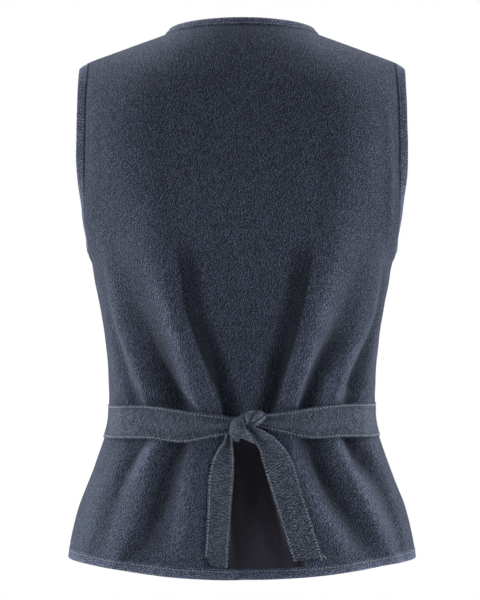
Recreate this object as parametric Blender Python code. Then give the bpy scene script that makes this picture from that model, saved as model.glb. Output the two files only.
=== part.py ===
"""A sleeveless vest with a belt tied at the centre of its back, standing empty in its worn shape.

The tables are in millimetres and the meshes in metres. +X is the wearer's right, +Y the way the
wearer would face and +Z up. The origin lies midway between the two shoulder seams.
"""

import math
from collections import namedtuple

import bmesh
import bpy
import numpy as np
from mathutils import Vector

MM = 0.001

# Walls, bands and seams
CLOTH = 1.8
BAND_CLOTH = 2.4
BAND_PROUD = 0.3
TIE_CLOTH = 2.4
SEAM_GAP = 0.3
BAND_GAP = 0.7
ARMHOLE_BAND = 9.5
ARMHOLE_FLARE = 0.8
ARMHOLE_FLARES_OVER = 100.0
ARMHOLE_DROOP = 0.2
ARMHOLE_DROOPS_FROM = -36.0
ARMHOLE_DROOPS_OVER = 24.0
NECK_BAND = 8.0
NECK_BAND_UPRIGHT = 1.0
UPRIGHT_BEHIND = 45.0
HEM_BAND = 10.0

# Neck and shoulders
NECK_X = 81.0
NECK_Z = 12.8
NAPE_RISE = 3.6
NECK_BACK_REACH = 68.0
SHOULDER_SLOPE = 0.357
NAPE_ROUND = 25.0
SHOULDER_LEVEL = -60.0

# Armholes, from the foot at the side seam to the level where they reach farthest
ARMHOLE_FOOT_Z = -225.0
ARMHOLE_WIDEST_Z = -110.0
ROUND_BELOW_ARMHOLE = 2.0
ROUND_BESIDE_ARMHOLE = 1.1
FLATTENS_BELOW = 50.0
EDGE_SOFTENS = 14.0

# Hem, lower at the middle of the back and front than at the side seams
HEM_SIDE_Z = -533.0
HEM_DROP = 11.0
HEM_DROP_ROUND = 1.4

# Fronts: the lap at the centre and the foot of the neck's V
LAP = 16.0
LAP_LIFT = 3.2
LAP_LIFTED_AT = 26.0
LAP_FLAT_AT = 56.0
NECK_V_Z = -184.0

# Belt
BELT_LIFT = 7.0
BELT_SEAM_LIFT = 1.1
BELT_EASES_OVER = 26.0
TIE_END_LIFT = 9.0
TIE_CROWN = 0.5

# Buttons
BUTTON_RADIUS = 7.5
BUTTON_HEIGHT = 3.0
BUTTON_RIM = 1.4
BUTTON_DISH = 0.7
BUTTON_CLEAR = 0.7
BUTTON_SIDES = 24
BUTTON_LEVELS = (-172.0, -245.0, -318.0, -391.0, -464.0)

# Steps of the grids
ROWS_BELOW_ARMHOLE = 17
ROWS_ABOVE_ARMHOLE = 14
BELT_STEPS = 16
END_STEPS = 10

# Half width at the side seam or armhole edge, and how far the back and front stand from the side plane
Level = namedtuple("Level", "z side_x back front")
LEVELS = (
    Level(-548, 184.5, 113, 112),
    Level(-533, 182.8, 112, 112),
    Level(-485, 173.0, 104, 108),
    Level(-443, 157.0, 95, 103),
    Level(-415, 147.2, 89, 99),
    Level(-391, 140.2, 86, 97),
    Level(-360, 140.2, 86.5, 98),
    Level(-317, 142.8, 90, 104),
    Level(-275, 148.9, 95.5, 112.5),
    Level(-225, 158.8, 100.8, 118.6),
    Level(-210, 160.0, 101.8, 119.3),
    Level(-191, 161.9, 102.6, 119),
    Level(-128, 161.8, 103, 109),
    Level(-86, 161.2, 99, 96),
    Level(-44, 160.4, 95, 84),
    Level(-15, 159.8, 92, 78),
)

# One side of the body: which way it faces, its armhole's reach, how flat it is and its shoulder's roll
Side = namedtuple("Side", "column sign reach fullness fullness_above shoulder_round")
BACK = Side("back", -1, 55.0, 2.4, 4.0, 80.0)
FRONT = Side("front", 1, 46.0, 2.2, 2.8, 100.0)

# Levels at which the folds are placed
FOLD_LEVELS = (-15, -217, -285, -340, -396, -446, -538)
Fold = namedtuple("Fold", "name steps shoulder blade ribs above_waist waist hip hem")

# Where each fold line of the back lies across it, and the columns from the line before
FOLD_PLACES = (
    Fold("l3_ridge", 3, -154, -153, -140, -127, -116, -133, -165),
    Fold("l3_valley", 2, -147, -147, -134, -117, -107, -121, -153),
    Fold("l2_ridge", 2, -138, -140, -126, -105, -97, -103, -141),
    Fold("l1_valley", 3, -124, -128, -102, -76, -64, -81, -116),
    Fold("l1_ridge", 3, -104, -89, -74, -57, -45, -52, -70),
    Fold("edge_left", 3, -81, -67, -49, -28, -15, -11, -8),
    Fold("floor_left", 4, -58, -45, -38, -26, -19, -16, 0),
    Fold("centre", 3, 0, 2.5, 5.5, 7.5, 6, 9, 23),
    Fold("floor_right", 3, 58, 50, 48, 40, 31, 34, 46),
    Fold("edge_right", 4, 81, 72, 59, 42, 27, 29, 55),
    Fold("r1_ridge", 3, 104, 98, 79, 62, 50, 65, 119),
    Fold("r1_valley", 3, 122, 125, 101, 78, 67, 91, 146),
    Fold("r2_ridge", 3, 137, 143, 131, 104, 94, 113, 160),
    Fold("r2_valley", 2, 146, 149, 138, 118, 106, 137, 169),
    Fold("r3_ridge", 2, 153, 154, 143, 130, 122, 147, 175),
)

# How far each fold line stands out from the back's plain form
FOLD_HEIGHTS = (
    Fold("l3_ridge", 0, 0, 0, 0.5, 1.5, 2, 4.5, 1.5),
    Fold("l3_valley", 0, 0, 0, -0.5, -2, -2, -3.5, -2),
    Fold("l2_ridge", 0, 0, 0.5, 3, 5, 3, 5, 2.5),
    Fold("l1_valley", 0, 0, -1, -4, -7, -5, -7, -3),
    Fold("l1_ridge", 0, 0, 2, 4, 6, 4, 6, 3),
    Fold("edge_left", 0, 0, -1, 0, 1, 1, 2, 1),
    Fold("floor_left", 0, 0, -4, -12, -20, -31, -33, -6),
    Fold("centre", 0, 0, -5, -15, -24, -31, -34, -7),
    Fold("floor_right", 0, 0, -4, -12, -20, -31, -33, -6),
    Fold("edge_right", 0, 0, -1, 0, 1, 1, 2, 1),
    Fold("r1_ridge", 0, 0, 2, 4, 6, 4, 6, 3),
    Fold("r1_valley", 0, 0, -1, -4, -7, -5, -8, -4),
    Fold("r2_ridge", 0, 0, 0.5, 3, 6, 4, 7, 2),
    Fold("r2_valley", 0, 0, 0, -3, -6, -4, -6, -1),
    Fold("r3_ridge", 0, 0, 0, 1, 2.5, 2, 2, 0.5),
)

# Soft folds of a front: the share of the way from its centre edge to its side, then heights
FrontFold = namedtuple("FrontFold", "share steps shoulder blade ribs above_waist waist hip hem")
FRONT_FOLDS = (
    FrontFold(0.24, 3, 0, 0, 0, 0, 0, 0, 0),
    FrontFold(0.36, 2, 0, 0, 0, -0.5, -1.0, -2.0, -3.0),
    FrontFold(0.50, 2, 0, 0, 0.5, 1.0, 1.5, 3.0, 4.5),
    FrontFold(0.64, 2, 0, 0, -0.5, -1.5, -2.0, -2.5, -3.5),
    FrontFold(0.78, 2, 0, 0, 0.5, 2.0, 2.5, 3.0, 3.5),
)
FRONT_LAST_STEPS = 4

# Belt from each side seam to the knot: place across, height and width
Tie = namedtuple("Tie", "x z width")
TIE_LEFT = (
    Tie(-140.2, -391.0, 34.0),
    Tie(-92.0, -388.5, 34.0),
    Tie(-52.0, -392.5, 31.0),
    Tie(-26.0, -391.5, 22.0),
    Tie(-5.0, -391.0, 15.0),
)
TIE_RIGHT = (
    Tie(139.9, -389.0, 34.5),
    Tie(100.0, -387.0, 34.0),
    Tie(62.0, -389.0, 30.0),
    Tie(42.0, -388.0, 22.0),
    Tie(15.0, -386.0, 12.0),
)

# Hanging ends, from the knot down, with the slant of the last cut
TIE_END_LEFT = (
    Tie(-14.5, -405.5, 9.0),
    Tie(-17.0, -418.0, 19.0),
    Tie(-19.5, -435.0, 24.0),
    Tie(-22.0, -470.0, 24.0),
    Tie(-25.0, -529.0, 23.0),
)
TIE_END_RIGHT = (
    Tie(19.0, -400.0, 12.0),
    Tie(25.5, -409.5, 22.0),
    Tie(30.5, -420.0, 28.5),
    Tie(46.0, -465.0, 29.5),
    Tie(64.0, -523.0, 29.0),
)
END_LEFT_SLANT = -5.0
END_RIGHT_SLANT = 2.0

# Turns of the half knot: place, height, stand from the side plane, width and thickness
Turn = namedtuple("Turn", "x z out width thick")
KNOT_WRAP = (
    Turn(-5.0, -382.0, 100.8, 7.0, 6.0),
    Turn(-3.5, -389.5, 104.5, 15.0, 11.0),
    Turn(-1.5, -396.5, 106.0, 19.0, 13.0),
    Turn(4.0, -403.0, 104.0, 13.0, 10.0),
    Turn(9.5, -410.0, 101.0, 7.0, 6.0),
)
KNOT_CORE = (
    Turn(5.6, -387.5, 102.2, 11.0, 8.0),
    Turn(12.5, -384.6, 103.4, 15.5, 11.0),
    Turn(19.0, -383.0, 102.8, 13.5, 9.5),
    Turn(25.5, -384.0, 101.2, 9.0, 6.0),
)
KNOT_SIDES = 10
KNOT_STEPS = 3

# Colour, roughness and metallic value of each finish
Finish = namedtuple("Finish", "colour roughness metallic")
DENIM = Finish((0.046, 0.055, 0.078), 0.88, 0.0)
BAND_DENIM = Finish((0.052, 0.060, 0.088), 0.88, 0.0)
TIE_DENIM = Finish((0.062, 0.072, 0.098), 0.86, 0.0)
BUTTON_RESIN = Finish((0.030, 0.034, 0.045), 0.42, 0.0)


def named_column(table, name):
    """One named column of a table, as numbers."""
    return np.array([getattr(row, name) for row in table], float)


def curve_through(knots, values, at):
    """Values of a smooth curve through the knots, level beyond its ends."""
    knots = np.asarray(knots, float)
    values = np.asarray(values, float)
    slopes = np.gradient(values, knots)
    at = np.clip(np.asarray(at, float), knots[0], knots[-1])
    left = np.clip(np.searchsorted(knots, at, side="right") - 1, 0, len(knots) - 2)
    run = knots[left + 1] - knots[left]
    share = (at - knots[left]) / run
    start = values[left]
    end = values[left + 1]
    bend_in = slopes[left] * run
    bend_out = slopes[left + 1] * run
    return blend(start, end, bend_in, bend_out, share)


def blend(start, end, leave, arrive, share):
    """A cubic from start to end with the given slopes at both."""
    square = share * share
    cube = square * share
    return (
        (2 * cube - 3 * square + 1) * start
        + (3 * square - 2 * cube) * end
        + (cube - 2 * square + share) * leave
        + (cube - square) * arrive
    )


def ease(share):
    """A soft step from 0 to 1."""
    share = np.clip(share, 0.0, 1.0)
    return share * share * (3.0 - 2.0 * share)


def side_place(z):
    """Half width of the panels at a height."""
    return curve_through(named_column(LEVELS, "z"), named_column(LEVELS, "side_x"), z)


def armhole_share(z):
    """How much of its full reach the armhole's edge has at a height."""
    drop = (ARMHOLE_WIDEST_Z - z) / (ARMHOLE_WIDEST_Z - ARMHOLE_FOOT_Z)
    return np.sqrt(1.0 - np.clip(drop, 0.0, 1.0) ** 2)


def plan_depth(x, z, side):
    """Stand of the cloth from the side plane, before the shoulder's roll."""
    deep = curve_through(named_column(LEVELS, "z"), named_column(LEVELS, side.column), z)
    flattens_from = ARMHOLE_FOOT_Z - FLATTENS_BELOW
    flat = ease((z - flattens_from) / (ARMHOLE_WIDEST_Z - flattens_from))
    roundness = ROUND_BELOW_ARMHOLE + (ROUND_BESIDE_ARMHOLE - ROUND_BELOW_ARMHOLE) * flat
    across = np.clip(np.abs(x) / side_place(z), 0.0, 1.0)
    fullness = side.fullness + (side.fullness_above - side.fullness) * flat
    softer = 1.0 + EDGE_SOFTENS * (1.0 - across)
    edge = side.reach * armhole_share(z) ** softer
    return edge + (deep - edge) * (1.0 - across**fullness) ** (1.0 / roundness)


def shoulder_line(x):
    """Height of the shoulder seam, run on across the neck with a small rise at the nape."""
    away = np.abs(x) / NECK_X
    nape = NAPE_RISE * np.maximum(1.0 - away**2, 0.0)
    return NECK_Z + nape - SHOULDER_SLOPE * NECK_X * np.maximum(away - 1.0, 0.0)


def roll_top(x, side):
    """Height where the shoulder's roll ends, and how tall the roll is."""
    away = np.abs(x)
    roll = np.full_like(away, side.shoulder_round)
    top = NECK_Z - SHOULDER_SLOPE * (away - NECK_X)
    if side is FRONT:
        return top, roll
    inside = np.clip(1.0 - (away / NECK_X) ** 2, 0.0, 1.0)
    roll = roll + NAPE_ROUND * ease(inside)
    neck_depth = NECK_BACK_REACH * inside**0.5
    share = np.clip(neck_depth / plan_depth(x, np.full_like(away, SHOULDER_LEVEL), side), 0.0, 0.98)
    rise = (1.0 - np.sqrt(1.0 - share**2)) * roll
    return np.where(away < NECK_X, shoulder_line(x) + rise, top), roll


def cloth_depth(x, z, side):
    """Stand of the plain cloth from the side plane, rolled over at the shoulder."""
    top, roll = roll_top(x, side)
    share = np.clip((top - z) / roll, 0.0, 1.0)
    rolled = np.sqrt(1.0 - (1.0 - share) ** 2)
    return np.maximum(plan_depth(x, z, side) * rolled, SEAM_GAP / 2)


def plain_points(x, z, side, height):
    """Points of the cloth at the given places, moved out by a height."""
    step = 0.4
    depth = cloth_depth(x, z, side)
    limit = side_place(z)
    right = np.minimum(x + step, limit)
    left = np.maximum(x - step, -limit)
    slope = (cloth_depth(right, z, side) - cloth_depth(left, z, side)) / (right - left)
    length = np.sqrt(1.0 + slope**2)
    out_x = -slope / length
    out_y = side.sign / length
    return np.stack([x + out_x * height, side.sign * depth + out_y * height, z], axis=-1)


def row_levels():
    """Each row's share of the way up, below the armholes and then above them."""
    below = np.linspace(0.0, 1.0, ROWS_BELOW_ARMHOLE)
    turn = np.linspace(0.0, math.pi, ROWS_ABOVE_ARMHOLE + 1)[1:]
    above = (1.0 - np.cos(turn)) / 2
    neck_v = (NECK_V_Z - ARMHOLE_FOOT_Z) / (NECK_Z - ARMHOLE_FOOT_Z)
    above[np.argmin(np.abs(above - neck_v))] = neck_v
    return below, above


def hem_drop(across):
    """How far the hem hangs below its side corners, at a share of the way across."""
    inside = 1.0 - np.clip(np.abs(across), 0.0, 1.0) ** 2
    return HEM_DROP * inside**HEM_DROP_ROUND


def row_heights(x, side):
    """Heights of the rows: the hem band's two edges, the rows below the armholes and those above."""
    below, above = row_levels()
    hem = HEM_SIDE_Z - hem_drop(x / side[:, None])
    foot = hem + HEM_BAND + SEAM_GAP
    climb = np.concatenate([[0.0, 0.0], below, np.ones_like(above)])[:, None]
    heights = foot + (ARMHOLE_FOOT_Z - foot) * climb
    heights[0] = hem[0]
    heights[1] = hem[1] + HEM_BAND
    rise = above[:, None]
    first = 2 + len(below)
    heights[first:] = ARMHOLE_FOOT_Z + (shoulder_line(x[first:]) - ARMHOLE_FOOT_Z) * rise
    return heights


def side_heights():
    """Height of each row at the side seam or armhole edge."""
    below, above = row_levels()
    foot = HEM_SIDE_Z + HEM_BAND + SEAM_GAP
    tip = shoulder_line(side_place(-15.0))
    low = foot + (ARMHOLE_FOOT_Z - foot) * below
    high = ARMHOLE_FOOT_Z + (tip - ARMHOLE_FOOT_Z) * above
    return np.concatenate([[HEM_SIDE_Z, HEM_SIDE_Z + HEM_BAND], low, high])


def spline_across(keys, steps, still_first):
    """Points of smooth curves through each row's keys, an array of rows, keys and (place, height).

    The curves come to a stop at the last key, and at the first one too where still_first is true.
    """
    chord = np.sqrt(np.linalg.norm(np.diff(keys, axis=1), axis=2))[..., None] + 1e-6
    step = np.diff(keys, axis=1) / chord
    slopes = np.zeros_like(keys)
    slopes[:, 1:-1] = (step[:, :-1] * chord[:, 1:] + step[:, 1:] * chord[:, :-1]) / (
        chord[:, 1:] + chord[:, :-1]
    )
    if not still_first:
        slopes[:, 0] = step[:, 0]
    pieces = []
    for index, count in enumerate(steps):
        share = (np.arange(count) / count)[None, :, None]
        run = chord[:, index][:, None]
        pieces.append(
            blend(
                keys[:, index][:, None],
                keys[:, index + 1][:, None],
                slopes[:, index][:, None] * run,
                slopes[:, index + 1][:, None] * run,
                share,
            )
        )
    pieces.append(keys[:, -1:])
    return np.concatenate(pieces, axis=1)


def at_levels(row, heights):
    """A fold's value at each height, from its columns for the fold levels."""
    values = row[-len(FOLD_LEVELS) :]
    return curve_through(FOLD_LEVELS[::-1], values[::-1], heights)


def back_grid():
    """Rows and columns of the back's outer face, hem band first, and the columns of the neck's ends."""
    levels = side_heights()
    side = side_place(levels)
    still = np.zeros_like(side)
    places = [at_levels(fold, levels) for fold in FOLD_PLACES]
    heights = [at_levels(fold, levels) for fold in FOLD_HEIGHTS]
    keys = np.stack(
        [
            np.stack([-side] + places + [side], axis=1),
            np.stack([still] + heights + [still], axis=1),
        ],
        axis=2,
    )
    steps = [fold.steps for fold in FOLD_PLACES] + [3]
    across = spline_across(keys, steps, True)
    z = row_heights(across[..., 0], side)
    points = plain_points(across[..., 0], z, BACK, across[..., 1])
    names = [fold.name for fold in FOLD_PLACES]
    neck_left = sum(steps[: names.index("edge_left") + 1])
    neck_right = sum(steps[: names.index("edge_right") + 1])
    return points, (neck_left, neck_right)


def front_centre(heights):
    """Place of a front's centre edge, which leaves the lap for the neck's V."""
    share = np.clip((heights - NECK_V_Z) / (NECK_Z - NECK_V_Z), 0.0, 1.0)
    return -LAP + (NECK_X + LAP) * share


def front_grid(lapped):
    """Rows and columns of the right front's outer face, from its centre edge to its side."""
    levels = side_heights()
    side = side_place(levels)
    below, above = row_levels()
    rise = np.concatenate([np.zeros(2 + len(below)), above])
    centre_z = ARMHOLE_FOOT_Z + (NECK_Z - ARMHOLE_FOOT_Z) * rise
    centre = np.where(rise > 0, front_centre(centre_z), -LAP)
    still = np.zeros_like(side)
    places = [centre + (side - centre) * fold.share for fold in FRONT_FOLDS]
    heights = [at_levels(fold, levels) for fold in FRONT_FOLDS]
    keys = np.stack(
        [
            np.stack([centre] + places + [side], axis=1),
            np.stack([still] + heights + [still], axis=1),
        ],
        axis=2,
    )
    steps = [fold.steps for fold in FRONT_FOLDS] + [FRONT_LAST_STEPS]
    across = spline_across(keys, steps, False)
    x = across[..., 0]
    z = row_heights(x, side)
    inward = (side[:, None] - x) / (side - centre)[:, None]
    armhole_rows = slice(2 + len(below), None)
    z[armhole_rows] = (levels[:, None] + (centre_z - levels)[:, None] * inward)[armhole_rows]
    lift = LAP_LIFT * ease((LAP_FLAT_AT - x) / (LAP_FLAT_AT - LAP_LIFTED_AT))
    return plain_points(x, z, FRONT, across[..., 1] + (lift if lapped else 0.0))


def unit(vectors):
    """Vectors at length one."""
    return vectors / np.maximum(np.linalg.norm(vectors, axis=-1, keepdims=True), 1e-9)


def outward(points, side):
    """Directions out of a grid's face, kept in the seam plane along side and shoulder seams."""
    up = np.gradient(points, axis=0)
    along = np.gradient(points, axis=1)
    normals = unit(np.cross(along, up))
    middle = normals[len(points) // 3, points.shape[1] // 2]
    if middle[1] * side.sign < 0:
        normals = -normals
    on_seam = np.abs(points[..., 1]) < 2 * SEAM_GAP
    normals[..., 1] = np.where(on_seam, 0.0, normals[..., 1])
    return unit(normals)


def new_object(name, points, faces, finish):
    """A closed mesh from points in millimetres, in its own material."""
    mesh = bpy.data.meshes.new(name)
    mesh.from_pydata((np.asarray(points) * MM).tolist(), [], faces)
    shape = bmesh.new()
    shape.from_mesh(mesh)
    bmesh.ops.recalc_face_normals(shape, faces=shape.faces)
    shape.to_mesh(mesh)
    shape.free()
    item = bpy.data.objects.new(name, mesh)
    bpy.context.scene.collection.objects.link(item)
    mesh.materials.append(new_material(name, finish))
    return item


def new_material(name, finish):
    """A plain material for one piece."""
    material = bpy.data.materials.new(name)
    material.use_nodes = True
    shader = material.node_tree.nodes["Principled BSDF"]
    shader.inputs["Base Color"].default_value = (*finish.colour, 1.0)
    shader.inputs["Roughness"].default_value = finish.roughness
    shader.inputs["Metallic"].default_value = finish.metallic
    return material


def sweep(name, rings, finish, closed=False):
    """A solid through rings of points, joined end to end or capped at both ends."""
    count, around = rings.shape[:2]
    faces = []
    for ring in range(count if closed else count - 1):
        here = ring * around
        there = ((ring + 1) % count) * around
        for corner in range(around):
            beside = (corner + 1) % around
            faces.append((here + corner, here + beside, there + beside, there + corner))
    if not closed:
        faces.append(tuple(range(around)))
        faces.append(tuple(range((count - 1) * around, count * around)))
    return new_object(name, rings.reshape(-1, 3), faces, finish)


def wall(name, outer, normals, thickness, finish):
    """A panel's solid: its outer face, the same face moved in and the rim between them."""
    rows, columns = outer.shape[:2]
    inner = outer - normals * thickness
    layer = rows * columns
    faces = []
    for row in range(rows - 1):
        for column in range(columns - 1):
            first = row * columns + column
            corners = (first, first + 1, first + columns + 1, first + columns)
            faces.append(corners)
            faces.append(tuple(layer + corner for corner in reversed(corners)))
    bottom = [column for column in range(columns)]
    right = [row * columns + columns - 1 for row in range(1, rows)]
    top = [(rows - 1) * columns + column for column in range(columns - 2, -1, -1)]
    left = [row * columns for row in range(rows - 2, 0, -1)]
    rim = bottom + right + top + left
    for start, end in zip(rim, rim[1:] + rim[:1]):
        faces.append((start, layer + start, layer + end, end))
    points = np.concatenate([outer.reshape(-1, 3), inner.reshape(-1, 3)])
    return new_object(name, points, faces, finish)


def edge_band(name, edge, normals, width, upright, closed):
    """A band sewn along a panel's edge, which runs on from the panel, or stands more upright."""
    if closed:
        along = np.roll(edge, -1, axis=0) - np.roll(edge, 1, axis=0)
    else:
        along = np.gradient(edge, axis=0)
    across = unit(np.cross(unit(along), normals))
    near = edge + across * BAND_GAP
    behind = np.clip(-edge[:, 1:2] / UPRIGHT_BEHIND, 0.0, 1.0)
    far = near + unit(across + np.array([0.0, 0.0, upright]) * behind) * width
    high = normals * BAND_PROUD
    low = normals * (BAND_PROUD - BAND_CLOTH)
    rings = np.stack([near + high, far + high, far + low, near + low], axis=1)
    return sweep(name, rings, BAND_DENIM, closed)


def mirrored(points):
    """The same points on the other side of the body."""
    return points * np.array([-1.0, 1.0, 1.0])


def armhole_band(name, back_edge, back_out, front_edge, front_out, turn):
    """The band round one armhole, up the back's edge and down the front's."""
    seam = (back_edge[:1] + front_edge[:1]) / 2
    tip = (back_edge[-1:] + front_edge[-1:]) / 2
    edge = np.concatenate([seam, back_edge[1:-1], tip, front_edge[-2:0:-1]])
    out = np.concatenate([back_out[:-1], front_out[-1:], front_out[-2:0:-1]])
    droop = ease((edge[:, 2] - ARMHOLE_DROOPS_FROM) / ARMHOLE_DROOPS_OVER)
    flare = ARMHOLE_FLARE * ease((edge[:, 2] - ARMHOLE_FOOT_Z) / ARMHOLE_FLARES_OVER - 0.2) * (1.0 - droop)
    out[:, 0] = out[:, 0] * (1.0 - flare) + np.sign(edge[:, 0]) * ARMHOLE_DROOP * droop
    out = unit(out)
    if turn:
        edge = edge[::-1]
        out = out[::-1]
    edge_band(name, edge, out, ARMHOLE_BAND, 0.0, True)


def strap_face(x, z, rise, lift):
    """A belt's points at a height above its middle line, on the plain back moved out by a lift."""
    level = z + rise
    place = x * side_place(level) / side_place(z)
    return plain_points(place, level, BACK, lift)


def belt_rings(stations):
    """Rings of the belt from a side seam to the knot, following the waist's hollow."""
    share = np.linspace(0.0, 1.0, BELT_STEPS + 1)
    start = stations[0].x
    end = stations[-1].x
    x = end + (start - end) * np.cos(share * math.pi / 2)
    ordered = sorted(stations, key=lambda station: station.x)
    z = curve_through(named_column(ordered, "x"), named_column(ordered, "z"), x)
    half = curve_through(named_column(ordered, "x"), named_column(ordered, "width"), x) / 2
    lift = belt_lift(x)
    rings = [
        strap_face(x, z, -half, lift),
        strap_face(x, z, -half, lift + TIE_CLOTH),
        strap_face(x, z, 0.0, lift + TIE_CLOTH + TIE_CROWN),
        strap_face(x, z, half, lift + TIE_CLOTH),
        strap_face(x, z, half, lift),
        strap_face(x, z, 0.0, lift + TIE_CROWN),
    ]
    return np.stack(rings, axis=1)


def end_rings(stations, slant):
    """Rings of a hanging end, which lies flat off the back below the knot."""
    share = np.linspace(0.0, 1.0, END_STEPS + 1)
    rising = stations[::-1]
    levels = named_column(rising, "z")
    z = stations[0].z + (stations[-1].z - stations[0].z) * share
    x = curve_through(levels, named_column(rising, "x"), z)
    width = curve_through(levels, named_column(rising, "width"), z)
    middle = plain_points(x, z, BACK, np.full_like(x, TIE_END_LIFT))
    along = unit(np.gradient(middle, axis=0))
    across = unit(np.cross(np.tile([0.0, -1.0, 0.0], (len(x), 1)), along))
    facing = unit(np.cross(along, across))
    half = across * width[:, None] / 2
    cut = along * np.where(share == 1.0, slant, 0.0)[:, None]
    thick = facing * TIE_CLOTH
    rings = [
        middle - half - cut,
        middle - half - cut + thick,
        middle + thick + facing * TIE_CROWN,
        middle + half + cut + thick,
        middle + half + cut,
    ]
    return np.stack(rings, axis=1)


def belt_lift(x):
    """How far the belt stands off the plain back, less where it is sewn in at the side."""
    inside = (side_place(-390.0) - np.abs(x)) / BELT_EASES_OVER
    return BELT_SEAM_LIFT + (BELT_LIFT - BELT_SEAM_LIFT) * ease(inside)


def knot_turn(name, turns):
    """One turn of the knot, an oval strand through its stations."""
    count = (len(turns) - 1) * KNOT_STEPS + 1
    share = np.linspace(0.0, 1.0, count)
    knots = np.linspace(0.0, 1.0, len(turns))
    x, z, out, width, thick = [
        curve_through(knots, named_column(turns, name_of), share) for name_of in Turn._fields
    ]
    middle = np.stack([x, -out, z], axis=1)
    along = unit(np.gradient(middle, axis=0))
    across = unit(np.cross(along, np.tile([0.0, -1.0, 0.0], (count, 1))))
    facing = unit(np.cross(across, along))
    turn = np.arange(KNOT_SIDES) * 2 * math.pi / KNOT_SIDES
    wide = np.cos(turn)[None, :, None] * across[:, None] * (width / 2)[:, None, None]
    deep = np.sin(turn)[None, :, None] * facing[:, None] * (thick / 2)[:, None, None]
    sweep(name, middle[:, None] + wide + deep, TIE_DENIM)


def button(name, height):
    """A dished button on the lapped front, facing the way the cloth does."""
    places = np.array([0.0, 0.0, 0.0])
    heights = np.array([height - 5.0, height, height + 5.0])
    line = plain_points(places, heights, FRONT, LAP_LIFT + BUTTON_CLEAR)
    up = unit(line[2] - line[0])
    facing = Vector(np.cross(np.array([1.0, 0.0, 0.0]), up))
    if facing.y < 0:
        facing = -facing
    across = Vector((1.0, 0.0, 0.0))
    upright = facing.cross(across)
    profile = (
        (BUTTON_RADIUS - 0.8, 0.0),
        (BUTTON_RADIUS, BUTTON_HEIGHT * 0.45),
        (BUTTON_RADIUS - 0.5, BUTTON_HEIGHT),
        (BUTTON_RADIUS - BUTTON_RIM, BUTTON_HEIGHT),
        (BUTTON_RADIUS - 2 * BUTTON_RIM, BUTTON_HEIGHT - BUTTON_DISH),
    )
    middle = Vector(line[1])
    rings = []
    for radius, rise in profile:
        ring = []
        for index in range(BUTTON_SIDES):
            turn = index * 2 * math.pi / BUTTON_SIDES
            spoke = across * math.cos(turn) + upright * math.sin(turn)
            ring.append(middle + spoke * radius + facing * rise)
        rings.append(ring)
    sweep(name, np.array(rings), BUTTON_RESIN)


def clear_scene():
    """Takes every object out of the scene."""
    for item in list(bpy.data.objects):
        bpy.data.objects.remove(item, do_unlink=True)


def build():
    """Makes every piece of the vest."""
    clear_scene()
    back, (neck_left, neck_right) = back_grid()
    back_out = outward(back, BACK)
    right = front_grid(True)
    right_out = outward(right, FRONT)
    left = mirrored(front_grid(False))
    left_out = outward(left, FRONT)

    wall("back", back[2:], back_out[2:], CLOTH, DENIM)
    wall("front_right", right[2:], right_out[2:], CLOTH, DENIM)
    wall("front_left", left[2:], left_out[2:], CLOTH, DENIM)

    seam_right = (back[:, -1:] + right[:, -1:]) / 2
    seam_left = (back[:, :1] + left[:, -1:]) / 2
    hem = np.concatenate(
        [left[:2, :-1], seam_left[:2], back[:2, 1:-1], seam_right[:2], right[:2, -2::-1]], axis=1
    )
    hem_out = np.concatenate([left_out[2, :-1], back_out[2], right_out[2, -2::-1]])
    proud = hem + hem_out * BAND_PROUD
    inside = proud - hem_out * BAND_CLOTH
    sweep("hem_band", np.stack([proud[0], proud[1], inside[1], inside[0]], axis=1), BAND_DENIM)

    foot = 1 + ROWS_BELOW_ARMHOLE
    armhole_band("armhole_band_right", back[foot:, -1], back_out[foot:, -1],
                 right[foot:, -1], right_out[foot:, -1], False)
    armhole_band("armhole_band_left", back[foot:, 0], back_out[foot:, 0],
                 left[foot:, -1], left_out[foot:, -1], True)

    below, above = row_levels()
    neck_rise = (NECK_V_Z - ARMHOLE_FOOT_Z) / (NECK_Z - ARMHOLE_FOOT_Z)
    neck_foot = 2 + len(below) + int(np.argmin(np.abs(above - neck_rise)))
    neck = np.concatenate(
        [left[neck_foot:-1, 0], back[-1, neck_left : neck_right + 1], right[-2:neck_foot - 1:-1, 0]]
    )
    neck_out = np.concatenate(
        [left_out[neck_foot:-1, 0], back_out[-1, neck_left : neck_right + 1],
         right_out[-2:neck_foot - 1:-1, 0]]
    )
    edge_band("neck_band", neck[::-1], neck_out[::-1], NECK_BAND, NECK_BAND_UPRIGHT, False)

    sweep("tie_left", belt_rings(TIE_LEFT), TIE_DENIM)
    sweep("tie_right", belt_rings(TIE_RIGHT), TIE_DENIM)
    sweep("tie_end_left", end_rings(TIE_END_LEFT, END_LEFT_SLANT), TIE_DENIM)
    sweep("tie_end_right", end_rings(TIE_END_RIGHT, END_RIGHT_SLANT), TIE_DENIM)
    knot_turn("knot_wrap", KNOT_WRAP)
    knot_turn("knot_core", KNOT_CORE)

    for number, height in enumerate(BUTTON_LEVELS, start=1):
        button(f"button_{number}", height)


build()
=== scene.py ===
"""Looks of a sleeveless vest with a belt tied at the centre of its back.

The tables are in millimetres and the meshes in metres. +X is the wearer's right, +Y the way the
wearer would face and +Z up. The origin lies midway between the two shoulder seams.
"""

import logging
import math
from dataclasses import dataclass
from enum import Enum
from typing import ClassVar, NamedTuple, Optional, Sequence

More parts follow.
